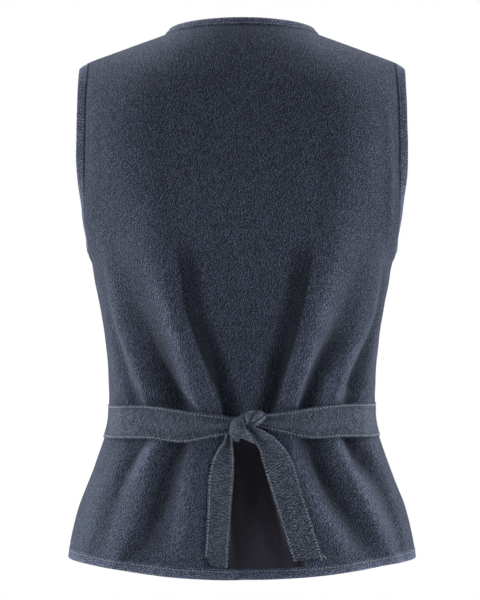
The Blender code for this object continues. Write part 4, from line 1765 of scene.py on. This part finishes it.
        # Painted shade of the deep pleat between the belt's ends, kept in the weave's third part, with
        # the fold tone there left out
        pleat_shadow = self.fade_and_shade.pleat_shadow(x, z)
        shade_share = pleat_shadow * self.fade_and_shade.painted_shade(z, within)
        return Face(
            points,
            outward(points, Facing.BACK),
            np.concatenate([flat_places(points, Facing.BACK), shade_share[..., None]], axis=-1),
            self.fade_and_shade.tone(x, z, stand, within, seam) * (1.0 - pleat_shadow),
        )

    def seam_line(self, away: Array) -> Array:
        """How much of the seam's dip the cloth has at a distance from its edge."""
        return np.exp(-((away / self.seam_width) ** 2))

    def front_face(self, lapped: bool) -> Face:
        """A front's outer face, from its centre edge to its side, as the right one lies.

        Args:
            lapped: Whether this front lies over the other.

        Returns:
            The face, its two hem rows first.
        """
        levels = self.side_heights()
        side = FORM.side_place(levels)
        above = self.row_shares()[1]
        first = HEM_ROWS + self.rows_below
        rise = np.concatenate([np.zeros(first), above])
        centre_z = FORM.armhole_foot_z + (FORM.neck_z - FORM.armhole_foot_z) * rise
        climb = np.clip((centre_z - self.neck_v_z) / (FORM.neck_z - self.neck_v_z), 0.0, 1.0)
        centre = -self.lap + (FORM.neck_x + self.lap) * climb
        still = np.zeros_like(side)
        places = [centre + (side - centre) * share for share in FRONT_SHARES]
        heights = [self.at_levels(fold, levels) for fold in FRONT_FOLDS]
        keys = np.array([[centre, *places, side], [still, *heights, still]]).transpose(2, 1, 0)
        steps = [fold.steps * self.finer * 2 for fold in FRONT_FOLDS]
        steps.append(self.front_side_steps * self.finer)
        across = self.spline_across(keys, steps, False)
        x = across[..., 0]
        z = self.row_heights(x, side)
        inward = (side[:, None] - x) / (side - centre)[:, None]
        z[first:] = (levels[:, None] + (centre_z - levels)[:, None] * inward)[first:]
        lift = self.lap_lift * self.lap_lifts.share(x)
        wide = self.uneven_beyond.share(x)
        pattern = self.lapped_pattern if lapped else self.under_pattern
        stand = across[..., 1] + crease_stand(x, z, FRONT_CREASES)
        stand = stand + self.unevenness * wide * uneven(x, z, pattern)
        stand = stand - self.seam_dip * self.seam_line(side[:, None] - x)
        points = FORM.points(x, z, FRONT_SIDE, stand + (lift if lapped else 0.0))
        # The tone follows the folds: paler tops and darker hollows, part wear and part painted light and
        # shade
        return Face(
            points,
            outward(points, Facing.FRONT),
            flat_places(points, Facing.FRONT),
            np.clip(stand / self.front_full_stand, -1.0, 1.0),
        )


@dataclass
class EdgeBands:
    """The bound neck and armholes and the hem band, each with its stitches."""

    panels: Panels
    cloth: float = 2.4
    proud: float = 0.35
    gap: float = 0.6
    laps: float = 1.6
    lap_sinks: float = 0.2
    sides: int = 22
    squareness: float = 9.0
    wear: float = 1.6
    wear_near: float = -0.5
    wear_far: float = 0.8
    stitch_sinks: float = 0.05
    armhole: float = 9.5
    armhole_stitches: float = 1.9
    flare: float = 0.8
    flares: Ramp = Ramp(-210.75, 95.0)
    droop: float = 0.2
    droops: Ramp = Ramp(-25.0, 14.0)
    reads_below: float = 14.0
    back_inner: int = 9
    front_inner: int = 14
    neck: float = 8.0
    neck_stitches: tuple[float, ...] = (1.5, 6.3)
    neck_upright: float = 1.0
    upright_behind: float = 45.0
    neck_turn: float = 0.75
    neck_turns_over: float = 24.0
    neck_inner: int = 5
    hem_stitches: float = 1.6
    evens_over: float = 5.0
    sags: float = 0.11

    def make(self) -> None:
        """Builds every band and sews it on."""
        self.armholes()
        self.neckline()
        self.hem()

    def profile(self, width: float) -> Array:
        """Outline of a band across its width."""
        return oval_profile(width, self.cloth, self.sides, self.squareness)

    def strip(
        self, edge: Array, out: Array, width: float, upright: float, closed: bool
    ) -> tuple[Array, Array, Array]:
        """Rings of a band that runs on from a panel's edge.

        Args:
            edge: Points of the panel's edge.
            out: Directions out of the panel there.
            width: Width of the band.
            upright: How much more upright the band stands behind the neck.
            closed: Whether the edge is a closed line.

        Returns:
            The rings, the line where the band starts and the direction across it.
        """
        if closed:
            along = np.roll(edge, -1, axis=0) - np.roll(edge, 1, axis=0)
        else:
            along = np.gradient(edge, axis=0)
        across = unit(np.cross(unit(along), out))
        near = edge + across * self.gap
        behind = np.clip(-edge[:, 1:2] / self.upright_behind, 0.0, 1.0)
        across = unit(across + np.array([0.0, 0.0, upright]) * behind)
        profile = self.profile(width)
        turned = (profile[:, 1] < -self.cloth / 2) & (profile[:, 0] < width / 2)
        profile[turned] -= np.array([self.laps, self.lap_sinks])
        return self.rings(near, profile, across, out), near, across

    def rings(self, near: Array, profile: Array, across: Array, out: Array) -> Array:
        """A band's rings, from the line where it starts, its outline and its directions."""
        deep = (profile[:, 1, None] + self.proud) * out[:, None]
        return near[:, None] + profile[:, 0, None] * across[:, None] + deep

    def line(self, near: Array, across: Array, out: Array, place: float) -> tuple[Array, Array]:
        """Points and outward directions of a stitch line at a place across a band's face."""
        return near + across * place + out * (self.proud - self.stitch_sinks), out

    def dress(self, node: str, rings: Array, closed: bool, width: float, cut: Cut) -> Item:
        """Builds a band's cloth, which has faded most along its far edge.

        Args:
            node: The node it stands for.
            rings: Its rings.
            closed: Whether the last ring joins the first.
            width: Its width.
            cut: How it lies on the grain.

        Returns:
            The new object.
        """
        share = self.profile(width)[:, 0] / width
        worn = np.clip(self.wear * (share - 0.5), self.wear_near, self.wear_far)
        item = ring_shell(f"{node}_cloth", rings, closed, BAND_DENIM.material(), worn, cut)
        finish_piece(item, node)
        return item

    def armholes(self) -> None:
        """Builds both armhole bands."""
        panels = self.panels
        foot = HEM_ROWS + panels.rows_below - 1
        back = panels.back
        for name, column, inner, front in (
            ("armhole_band_right", -1, -1 - self.back_inner, panels.right),
            ("armhole_band_left", 0, self.back_inner, panels.left),
        ):
            back_edge = back.points[foot:, column]
            front_edge = front.points[foot:, -1]
            seam = (back_edge[:1] + front_edge[:1]) / 2
            tip = (back_edge[-1:] + front_edge[-1:]) / 2
            edge = np.concatenate([seam, back_edge[1:-1], tip, front_edge[-2:0:-1]])
            back_out = self.side_out(back, foot, column, inner)
            front_out = self.side_out(front, foot, -1, -1 - self.front_inner)
            out = np.concatenate([back_out[:-1], front_out[-1:], front_out[-2:0:-1]])
            droop = self.droops.share(edge[:, 2])
            flare = self.flare * self.flares.share(edge[:, 2]) * (1.0 - droop)
            out[:, 0] = out[:, 0] * (1.0 - flare) + np.sign(edge[:, 0]) * self.droop * droop
            out = unit(out)
            if front is panels.left:
                edge = edge[::-1]
                out = out[::-1]
            rings, near, across = self.strip(edge, out, self.armhole, 0.0, True)
            item = self.dress(name, rings, True, self.armhole, Cut.BIAS)
            line = self.line(near, across, out, self.armhole_stitches)
            path, facing = (np.concatenate([part, part[:1]]) for part in line)
            sewn = FINE_STITCH.sew(f"stitches_{name}", [(path, facing)], BLUE_THREAD)

    def side_out(self, face: Face, foot: int, column: int, inner: int) -> Array:
        """Directions out of a panel along its armhole edge.

        Args:
            face: The panel.
            foot: Its row at the armhole's foot.
            column: The edge's column.
            inner: A column a little way in.

        Returns:
            A direction for each row from the foot up.
        """
        line = face.points[:, column]
        edge = line[foot:]
        lower = points_at(edge[:, 2] - self.reads_below, line[:, 2], line)
        return edge_out(edge, edge - lower, face.points[foot:, inner], face.out[foot:, column])

    def neckline(self) -> None:
        """Builds the band round the neck."""
        panels = self.panels
        foot = panels.neck_row()
        left, right = panels.neck_columns
        shown = slice(left, right + 1)
        nape = panels.back.points[-1, shown]
        inner = panels.back.points[-1 - self.neck_inner, shown]
        nape_out = edge_out(nape, np.gradient(nape, axis=0), inner, panels.back.out[-1, shown])
        up = slice(foot, -1)
        down = slice(-2, foot - 1, -1)
        edge = np.concatenate([panels.left.points[up, 0], nape, panels.right.points[down, 0]])[::-1]
        out = np.concatenate([panels.left.out[up, 0], nape_out, panels.right.out[down, 0]])[::-1]
        turned = np.sign(edge[:, :1]) * np.array([self.neck_turn, 0.0, 0.0]) + np.array([0.0, 0.0, 1.0])
        share = ease(np.abs(edge[:, 1:2]) / self.neck_turns_over)
        out = unit(unit(turned) * (1.0 - share) + out * share)
        rings, near, across = self.strip(edge, out, self.neck, self.neck_upright, False)
        item = self.dress("neck_band", rings, False, self.neck, Cut.BIAS)
        lines = [self.line(near, across, out, place) for place in self.neck_stitches]
        sewn = FINE_STITCH.sew("stitches_neck_band", lines, BLUE_THREAD)

    def hem(self) -> None:
        """Builds the band along the hem."""
        left = self.panels.left
        back = self.panels.back
        right = self.panels.right
        hem = slice(0, HEM_ROWS)
        seam_left = (back.points[hem, :1] + left.points[hem, -1:]) / 2
        seam_right = (back.points[hem, -1:] + right.points[hem, -1:]) / 2
        start = (left.points[hem, :-1], seam_left, back.points[hem, 1:-1], seam_right)
        rows = np.concatenate([*start, right.points[hem, -2::-1]], axis=1)
        above = HEM_ROWS
        out = np.concatenate([left.out[above, :-1], back.out[above], right.out[above, -2::-1]])
        low, near = rows
        across = unit(low - near)
        width = float(np.median(np.linalg.norm(low - near, axis=1)))
        plain = FORM.points(near[:, 0], near[:, 2], BACK_SIDE, np.zeros(len(near)))
        behind = (near[:, 1] < 0) * np.maximum(near[:, 1] - plain[:, 1], 0.0)
        near = near - self.sags * behind[:, None] * np.array([0.0, 0.0, 1.0])
        travelled = run_along(near)
        spread = np.exp(-(((travelled[:, None] - travelled) / self.evens_over) ** 2))
        out = unit(spread @ out)
        profile = self.profile(width + self.laps)
        profile[:, 0] -= self.laps
        rings = self.rings(near, profile, across, out)
        item = self.dress("hem_band", rings, False, width, Cut.STRAIGHT)
        line = self.line(near, across, out, self.hem_stitches)
        sewn = HEM_STITCH.sew("stitches_hem", [line], PALE_THREAD)


@dataclass(frozen=True)
class EndCut:
    """How a hanging end is cut and gathered: slant and round corner, then its pleats at the top."""

    slant: float
    rounded: float
    turn: float
    count: float
    depth: float


@dataclass
class TiedBelt:
    """The belt: two stretches from the side seams, the half knot and the two hanging ends."""

    cloth: float = 2.0
    crown: float = 0.5
    steps: int = 90
    across: int = 25
    stitch_in: float = 2.0
    stitch_in_most: float = 0.25
    # Painted highlight along the folded edges of the belt's pieces
    edge_highlight: float = 0.9
    waist_z: float = -390.0
    lift: float = 7.0
    seam_lift: float = 0.3
    eases_over: float = 26.0
    thin_at_seam: float = 0.3
    thickens_by: float = 1.5
    gathers: Ramp = Ramp(0.55, 0.45)
    gather: float = 1.5
    gather_turn: float = 5.6
    gather_shift: float = 0.8
    ripple: float = 0.25
    ripple_turn: float = 31.0
    ripple_slant: float = 2.0
    edge_down: float = 0.5
    edge_power: int = 8
    full_stand: float = 3.0
    end_lift: float = 9.0
    end_gathers_over: float = 46.0
    end_wave: float = 0.8
    end_wave_turn: float = 5.0
    end_curl: float = 0.7
    end_curl_power: int = 6
    end_cut: Ramp = Ramp(0.82, 0.18)
    corner_from: float = 0.75
    corner: float = 14.0
    round_from: float = 0.1
    round_power: float = 2.2
    end_full_stand: float = 4.0
    edge_highlight_from: float = 0.84
    edge_highlight_over: float = 0.1
    wrap_rows: int = 40
    wrap_columns: int = 30
    wrap_shade: float = 0.4
    wrap_highlight_from: float = 0.8
    wrap_highlight_over: float = 0.12
    wrap_stitched_from: int = 2
    core_rows: int = 64
    core_columns: int = 22
    core_inner: float = 0.06
    core_rise: float = 8.5
    core_leans: float = 0.85
    core_creases: float = 4.5
    core_strays: float = 0.3
    core_stray_turn: float = 9.0
    core_crease: float = 1.9
    core_crease_power: float = 0.7

    def make(self) -> None:
        """Builds the belt's pieces in the order in which they are tied."""
        self.stretch("tie_left", TIE_LEFT, -1)
        self.stretch("tie_right", TIE_RIGHT, 1)
        left_cut = EndCut(slant=1.0, rounded=11.0, turn=0.0, count=2.2, depth=4.0)
        right_cut = EndCut(slant=2.0, rounded=0.8, turn=0.6, count=2.6, depth=3.2)
        self.hanging_end("tie_end_left", TIE_END_LEFT, left_cut)
        right_corner = self.hanging_end("tie_end_right", TIE_END_RIGHT, right_cut)
        self.loose_threads("threads_tie_end_right", right_corner)
        self.wrap()
        self.core()

    def strap_face(self, x: Array, z: Array, rise: Array, lift: Array) -> Array:
        """Points at a height above a strap's middle line, on the plain back moved out."""
        place = x * FORM.side_place(z + rise) / FORM.side_place(z)
        return FORM.points(place, z + rise, BACK_SIDE, lift)

    def stretch(self, name: str, stations: Sequence[Tie], side: int) -> None:
        """Builds the belt from a side seam to the knot.

        Args:
            name: The piece's name.
            stations: Its places, heights and widths.
            side: -1 on the left and 1 on the right.
        """
        share = np.linspace(0.0, 1.0, self.steps)
        start = stations[0].x
        end = stations[-1].x
        x = end + (start - end) * np.cos(share * math.pi / 2)
        z = read_table(stations, "x", "z", x)
        half = read_table(stations, "x", "width", x) / 2
        inside = (FORM.side_place(np.array(self.waist_z)) - np.abs(x)) / self.eases_over
        lift = self.seam_lift + (self.lift - self.seam_lift) * ease(inside)
        part = np.linspace(-1.0, 1.0, self.across)
        near_knot = self.gathers.share(share)[:, None]
        pleats = self.gather * near_knot * np.cos(part * self.gather_turn + self.gather_shift * side)
        ripple = self.ripple * np.sin(share[:, None] * self.ripple_turn + self.ripple_slant * part)
        edge = self.edge_down * np.abs(part) ** self.edge_power
        outer = self.cloth + self.crown * (1.0 - part**2) + pleats + ripple - edge
        thick = self.thin_at_seam + (1.0 - self.thin_at_seam) * ease(inside * self.thickens_by)
        outer = outer * thick[:, None]
        lines = [
            self.strap_face(x, z, half * rise, lift + stand) for rise, stand in zip(part, outer.T)
        ]
        points = np.stack(lines, axis=1)
        ridge = outer / self.full_stand - 1.0
        self.strap_piece(name, points, ridge)

    def strap_piece(
        self,
        name: str,
        points: Array,
        ridge: Array,
        stitched: bool = True,
    ) -> None:
        """Builds a strap's shell with a row of stitches along both edges.

        Args:
            name: The piece's name.
            points: Points of its outer face, along and then across.
            ridge: Stand of each point.
            stitched: Whether stitches run along its edges.
        """
        out = outward(points, Facing.BACK)
        weave = flat_places(points.transpose(1, 0, 2), Facing.BACK).transpose(1, 0, 2)
        face = Face(points, out, weave, np.clip(ridge, -1.0, 1.0))
        finish = BELT_DENIM.material()
        item = cloth_shell(f"{name}_cloth", face, self.cloth, finish, finish)
        finish_piece(item, name)
        if stitched:
            lines = [self.edge_line(points, out), self.edge_line(points[:, ::-1], out[:, ::-1])]
            TOPSTITCH.sew(f"stitches_{name}", lines, PALE_THREAD)

    def edge_line(self, points: Array, out: Array) -> tuple[Array, Array]:
        """A stitch line a set distance in from the first edge of a strap.

        Args:
            points: The strap's face, along and then across.
            out: Directions out of it.

        Returns:
            Points and outward directions.
        """
        path = []
        facing = []
        for row, row_out in zip(points, out):
            travelled = run_along(row)
            at = min(self.stitch_in, travelled[-1] * self.stitch_in_most)
            path.append(points_at(at, travelled, row))
            facing.append(points_at(at, travelled, row_out))
        return np.array(path), unit(np.array(facing))

    def hanging_end(self, name: str, stations: Sequence[Tie], cut: EndCut) -> Array:
        """Builds an end that hangs from the knot, gathered at its top and flat below.

        Args:
            name: The piece's name.
            stations: Its places, heights and widths, from the top.
            cut: How it is cut and gathered.

        Returns:
            The lower corner toward +X.
        """
        share = np.linspace(0.0, 1.0, self.steps)
        z = stations[0].z + (stations[-1].z - stations[0].z) * share
        x = read_table(stations, "z", "x", z)
        width = read_table(stations, "z", "width", z)
        middle = FORM.points(x, z, BACK_SIDE, np.full_like(x, self.end_lift + self.cloth))
        along = unit(np.gradient(middle, axis=0))
        across = unit(np.cross(np.array([0.0, -1.0, 0.0]), along))
        facing = unit(np.cross(along, across))
        part = np.linspace(-1.0, 1.0, self.across)
        gather = ease(1.0 - (stations[0].z - z) / self.end_gathers_over)[:, None]
        pleats = -cut.depth * gather * np.cos(part * cut.count * math.pi / 2 + cut.turn)
        wave = self.end_wave * np.sin(share[:, None] * self.end_wave_turn + cut.turn) * (1.0 - gather)
        curl = self.end_curl * np.abs(part) ** self.end_curl_power
        stand = self.crown * (1.0 - part**2) + pleats + wave - curl
        last = self.end_cut.share(share)[:, None]
        corner = self.corner * np.maximum(np.abs(part) - self.corner_from, 0.0) ** 2
        corner = corner + cut.rounded * np.maximum(-part - self.round_from, 0.0) ** self.round_power
        reach = last * (cut.slant * part - corner)
        points = (
            middle[:, None]
            + across[:, None] * (part * width[:, None] / 2)[..., None]
            + facing[:, None] * stand[..., None]
            + along[:, None] * reach[..., None]
        )
        # Painted highlight along the end's folded edges
        edge_highlight = np.clip((np.abs(part) - self.edge_highlight_from) / self.edge_highlight_over, 0.0, 1.0)
        ridge = stand / self.end_full_stand + self.edge_highlight * edge_highlight
        self.strap_piece(name, points, ridge)
        return points[-1, -1]

    @staticmethod
    def loose_threads(name: str, corner: Array) -> None:
        """Builds the short thread ends at a corner of the cut.

        Args:
            name: The piece's name.
            corner: The corner.
        """
        out = np.array([0.0, -1.0, 0.0])
        lines = []
        for strand in LOOSE_STRANDS:
            share = np.linspace(0.0, 1.0, LOOSE_POINTS)
            bend = strand.turn + strand.bend * share
            step = np.stack([np.sin(bend), LOOSE_LIFT * out[1] * share, -np.cos(bend)], axis=1)
            start = corner + np.array([strand.aside, *LOOSE_START])
            path = start + np.cumsum(step * strand.length / (LOOSE_POINTS - 1), axis=0)
            lines.append((path, np.tile(out, (LOOSE_POINTS, 1))))
        LOOSE_THREAD.sew(name, lines, PALE_THREAD)

    @staticmethod
    def loop_face(columns: Array, rows: int, across: int) -> Array:
        """A smooth face through columns of points.

        Args:
            columns: Columns of points, all with as many.
            rows: Rows of the face.
            across: Columns of the face.

        Returns:
            Points of the face, along and then across.
        """
        stations = np.linspace(0.0, 1.0, columns.shape[1])
        along = np.linspace(0.0, 1.0, rows)
        lines = np.stack([curve_through(stations, column, along) for column in columns], axis=1)
        beside = np.linspace(0.0, 1.0, len(columns))
        part = np.linspace(0.0, 1.0, across)
        return np.stack([curve_through(beside, line, part) for line in lines], axis=0)

    def wrap(self) -> None:
        """Builds the turn that lies over the knot."""
        columns = np.array([[point.place() for point in column] for column in WRAP_COLUMNS])
        points = self.loop_face(columns, self.wrap_rows, self.wrap_columns)
        part = np.linspace(-1.0, 1.0, self.wrap_columns)
        # Painted highlight along the wrap's far edge, with painted light and shade across it
        edge_highlight = np.clip((part - self.wrap_highlight_from) / self.wrap_highlight_over, 0.0, 1.0)
        ridge = np.tile(self.wrap_shade * part + self.edge_highlight * edge_highlight, (self.wrap_rows, 1))
        self.strap_piece("knot_wrap", points, ridge, False)
        out = outward(points, Facing.BACK)
        shown = slice(self.wrap_stitched_from, None)
        line = self.edge_line(points[shown, ::-1], out[shown, ::-1])
        TOPSTITCH.sew("stitches_knot_wrap", [line], PALE_THREAD)

    def core(self) -> None:
        """Builds the gathered turn beside the knot, its creases fanning out from a pinch."""
        rim = np.array([point.place() for point in CORE_RIM])
        pinch = np.array(CORE_PINCH.place())
        part = np.linspace(0.0, 1.0, self.core_rows)
        edge = curve_through(np.linspace(0.0, 1.0, len(rim)), rim, part)
        reach = np.linspace(self.core_inner, 1.0, self.core_columns)
        turn = part * math.pi * self.core_creases
        turn = turn + self.core_strays * np.sin(part * self.core_stray_turn)
        crease = (2.0 * np.abs(np.cos(turn)) ** self.core_crease_power - 1.0)[:, None]
        stand = self.core_rise * np.sin(math.pi * reach**self.core_leans)
        stand = stand + self.core_crease * crease * np.sin(math.pi * reach)
        points = pinch + (edge[:, None] - pinch) * reach[:, None]
        points[..., 1] -= stand
        ridge = np.broadcast_to(crease, stand.shape)
        self.strap_piece("knot_core", points, ridge, False)


@dataclass
class Buttons:
    """Five dished buttons, sewn on with thread in two pairs of strands, and their buttonholes."""

    panels: Panels
    radius: float = 7.5
    under: float = 0.25
    dished_to: float = 2.2
    clear: float = 0.7
    sides: int = 48
    smooth_to: float = 40.0
    reads_over: float = 5.0
    thread_rise: float = 2.55
    thread_arch: float = 0.25
    thread_half: float = 2.4
    thread_length: float = 4.6
    thread_thick: float = 0.3
    thread_bulge: float = 0.2
    thread_points: int = 9
    strands: tuple[float, ...] = (-2.215, -2.005, 2.005, 2.215)
    hole_from: float = -11.5
    hole_to: float = 10.0
    hole_half: float = 1.5
    hole_lift: float = 0.1
    hole_points: int = 24
    levels: tuple[float, ...] = (-172.0, -245.0, -318.0, -391.0, -464.0)

    def make(self) -> None:
        """Builds every button with its thread and its buttonhole."""
        for number, level in enumerate(self.levels, start=1):
            middle, axes = self.frame_at(level)
            self.button(f"button_{number}", middle, axes)
            self.thread(f"thread_button_{number}", middle, axes)
            self.buttonhole(f"buttonhole_{-level:.0f}", level)

    def frame_at(self, level: float) -> tuple[Array, Array]:
        """Where a button lies and how it is turned.

        Args:
            level: The button's height.

        Returns:
            Its middle, and its directions across, up and out.
        """
        heights = level + self.reads_over * np.array([-1.0, 0.0, 1.0])
        stand = np.full(3, self.panels.lap_lift + self.clear)
        low, middle, high = FORM.points(np.zeros(3), heights, FRONT_SIDE, stand)
        across = np.array([1.0, 0.0, 0.0])
        facing = np.cross(across, unit(high - low))
        facing = facing * np.sign(facing[1])
        return middle, np.array([across, np.cross(facing, across), facing])

    def button(self, name: str, middle: Array, axes: Array) -> None:
        """Builds one turned button.

        Args:
            name: The button's name.
            middle: Its middle.
            axes: Its directions.
        """
        turn = np.arange(self.sides) * 2 * math.pi / self.sides
        circle = np.stack([np.cos(turn), np.sin(turn), np.zeros(self.sides)], axis=1)
        up = np.array([0.0, 0.0, 1.0])
        rings = [(self.radius - part.inset) * circle + part.rise * up for part in BUTTON_PROFILE]
        local = np.concatenate([*rings, [self.under * up], [self.dished_to * up]])
        index = np.arange(len(rings) * self.sides).reshape(len(rings), self.sides)
        beside = np.roll(index, -1, axis=1)
        walls = np.stack([index[:-1], beside[:-1], beside[1:], index[1:]], axis=-1)
        below = np.full(self.sides, index.size)
        bottom = np.stack([below, beside[0], index[0]], axis=1)
        top = np.stack([below + 1, index[-1], beside[-1]], axis=1)
        faces = walls.reshape(-1, 4).tolist() + bottom.tolist() + top.tolist()
        mesh = new_mesh(f"{name}_resin", local @ axes + middle, faces)
        mesh.materials.append(RESIN.material())
        finish_piece(new_object(mesh.name, mesh, self.smooth_to), name)

    def thread(self, name: str, middle: Array, axes: Array) -> None:
        """Sews a button on with four strands in two pairs.

        Args:
            name: The piece's name.
            middle: The button's middle.
            axes: Its directions.
        """
        reach = np.linspace(-self.thread_half, self.thread_half, self.thread_points)
        arch = self.thread_rise + self.thread_arch * np.cos(reach / self.thread_half * math.pi / 2)
        out = np.tile(axes[2], (self.thread_points, 1))
        lines = []
        for place in self.strands:
            local = np.stack([np.full(self.thread_points, place), reach, arch], axis=1)
            lines.append((local @ axes + middle, out))
        strand = Stitching(self.thread_length, 0.0, self.thread_thick, self.thread_bulge)
        strand.sew(name, lines, DARK_THREAD)

    def buttonhole(self, name: str, level: float) -> None:
        """Sews the bars round a buttonhole on the lapped front.

        Args:
            name: The piece's name.
            level: Its height.
        """
        x = np.linspace(self.hole_from, self.hole_to, self.hole_points)
        lift = np.full_like(x, self.panels.lap_lift + self.hole_lift)
        out = np.tile([0.0, 1.0, 0.0], (self.hole_points, 1))
        lines = []
        for rise in (-self.hole_half, self.hole_half):
            lines.append((FORM.points(x, np.full_like(x, level + rise), FRONT_SIDE, lift), out))
        BUTTONHOLE_BAR.sew(name, lines, DARK_THREAD)


@dataclass
class Studio:
    """The pale floor, the soft lamps and the camera, in metres."""

    floor_z: float = -0.95
    floor_radius: float = 2.2
    floor_fades_from: float = 0.9
    floor_sides: int = 96
    camera_away: float = 2.2
    camera_z: float = -0.2646
    sensor_mm: float = 36.0
    metres_per_pixel: float = 0.00105
    centre_pixel: float = 242.0
    middle_pixel: float = 240.0
    ambient: float = 0.02

    def make(self) -> None:
        """Builds floor, surroundings, lamps and camera."""
        self.floor()
        self.surroundings()
        for lamp in LAMPS:
            self.lamp(lamp)
        self.camera()

    def floor(self) -> None:
        """Builds the pale round floor."""
        turn = np.arange(self.floor_sides) * 2 * math.pi / self.floor_sides
        across = self.floor_radius * np.cos(turn)
        along = self.floor_radius * np.sin(turn)
        ring = np.stack([across, along, np.full_like(turn, self.floor_z)], axis=1)
        mesh = new_mesh("floor", ring / MM, [list(range(self.floor_sides))])
        near = math.hypot(self.floor_fades_from, self.floor_z)
        far = math.hypot(self.floor_radius, self.floor_z)
        mesh.materials.append(FloorFinish("pale_floor", near, far).material())
        item = bpy.data.objects.new("floor", mesh)
        bpy.context.scene.collection.objects.link(item)

    def surroundings(self) -> None:
        """Sets white surroundings that light the vest only weakly."""
        scene = bpy.context.scene
        world = bpy.data.worlds.new("studio")
        scene.world = world
        world.use_nodes = True
        sheet = NodeSheet(world.node_tree)
        seen = sheet.add("ShaderNodeLightPath").outputs["Is Camera Ray"]
        strength = sheet.math("MULTIPLY_ADD", seen, 1.0 - self.ambient, self.ambient)
        white = (1.0, 1.0, 1.0, 1.0)
        sheet.fill(world.node_tree.nodes["Background"], {"Color": white, "Strength": strength})
        scene.view_settings.view_transform = "Standard"
        scene.view_settings.look = "None"

    @staticmethod
    def lamp(lamp: Lamp) -> None:
        """Builds a soft rectangular lamp.

        Args:
            lamp: Its name, place, aim, size and power.
        """
        light = bpy.data.lights.new(lamp.name, "AREA")
        light.shape = "RECTANGLE"
        light.size = lamp.wide
        light.size_y = lamp.tall
        light.energy = lamp.power
        item = bpy.data.objects.new(lamp.name, light)
        item.location = lamp.place
        sight = Vector(lamp.aim) - Vector(lamp.place)
        item.rotation_euler = sight.to_track_quat("-Z", "Y").to_euler()
        item.visible_camera = False
        bpy.context.scene.collection.objects.link(item)

    def camera(self) -> None:
        """Builds the camera, level and square to the back."""
        lens = bpy.data.cameras.new("camera")
        lens.sensor_width = self.sensor_mm
        lens.lens = self.sensor_mm * self.camera_away / (IMAGE_LONG_SIDE * self.metres_per_pixel)
        lens.shift_x = -(self.centre_pixel - self.middle_pixel) / IMAGE_LONG_SIDE
        item = bpy.data.objects.new("camera", lens)
        item.location = (0.0, -self.camera_away, self.camera_z)
        item.rotation_euler = (math.radians(90.0), 0.0, 0.0)
        bpy.context.scene.collection.objects.link(item)
        bpy.context.scene.camera = item


def main() -> None:
    """Builds the vest's pieces in order, then the studio."""
    logging.basicConfig(level=logging.INFO, format="%(name)s %(message)s")
    panels = Panels()
    panels.make()
    EdgeBands(panels).make()
    TiedBelt().make()
    Buttons(panels).make()
    Studio().make()


if __name__ == "__main__":
    main()
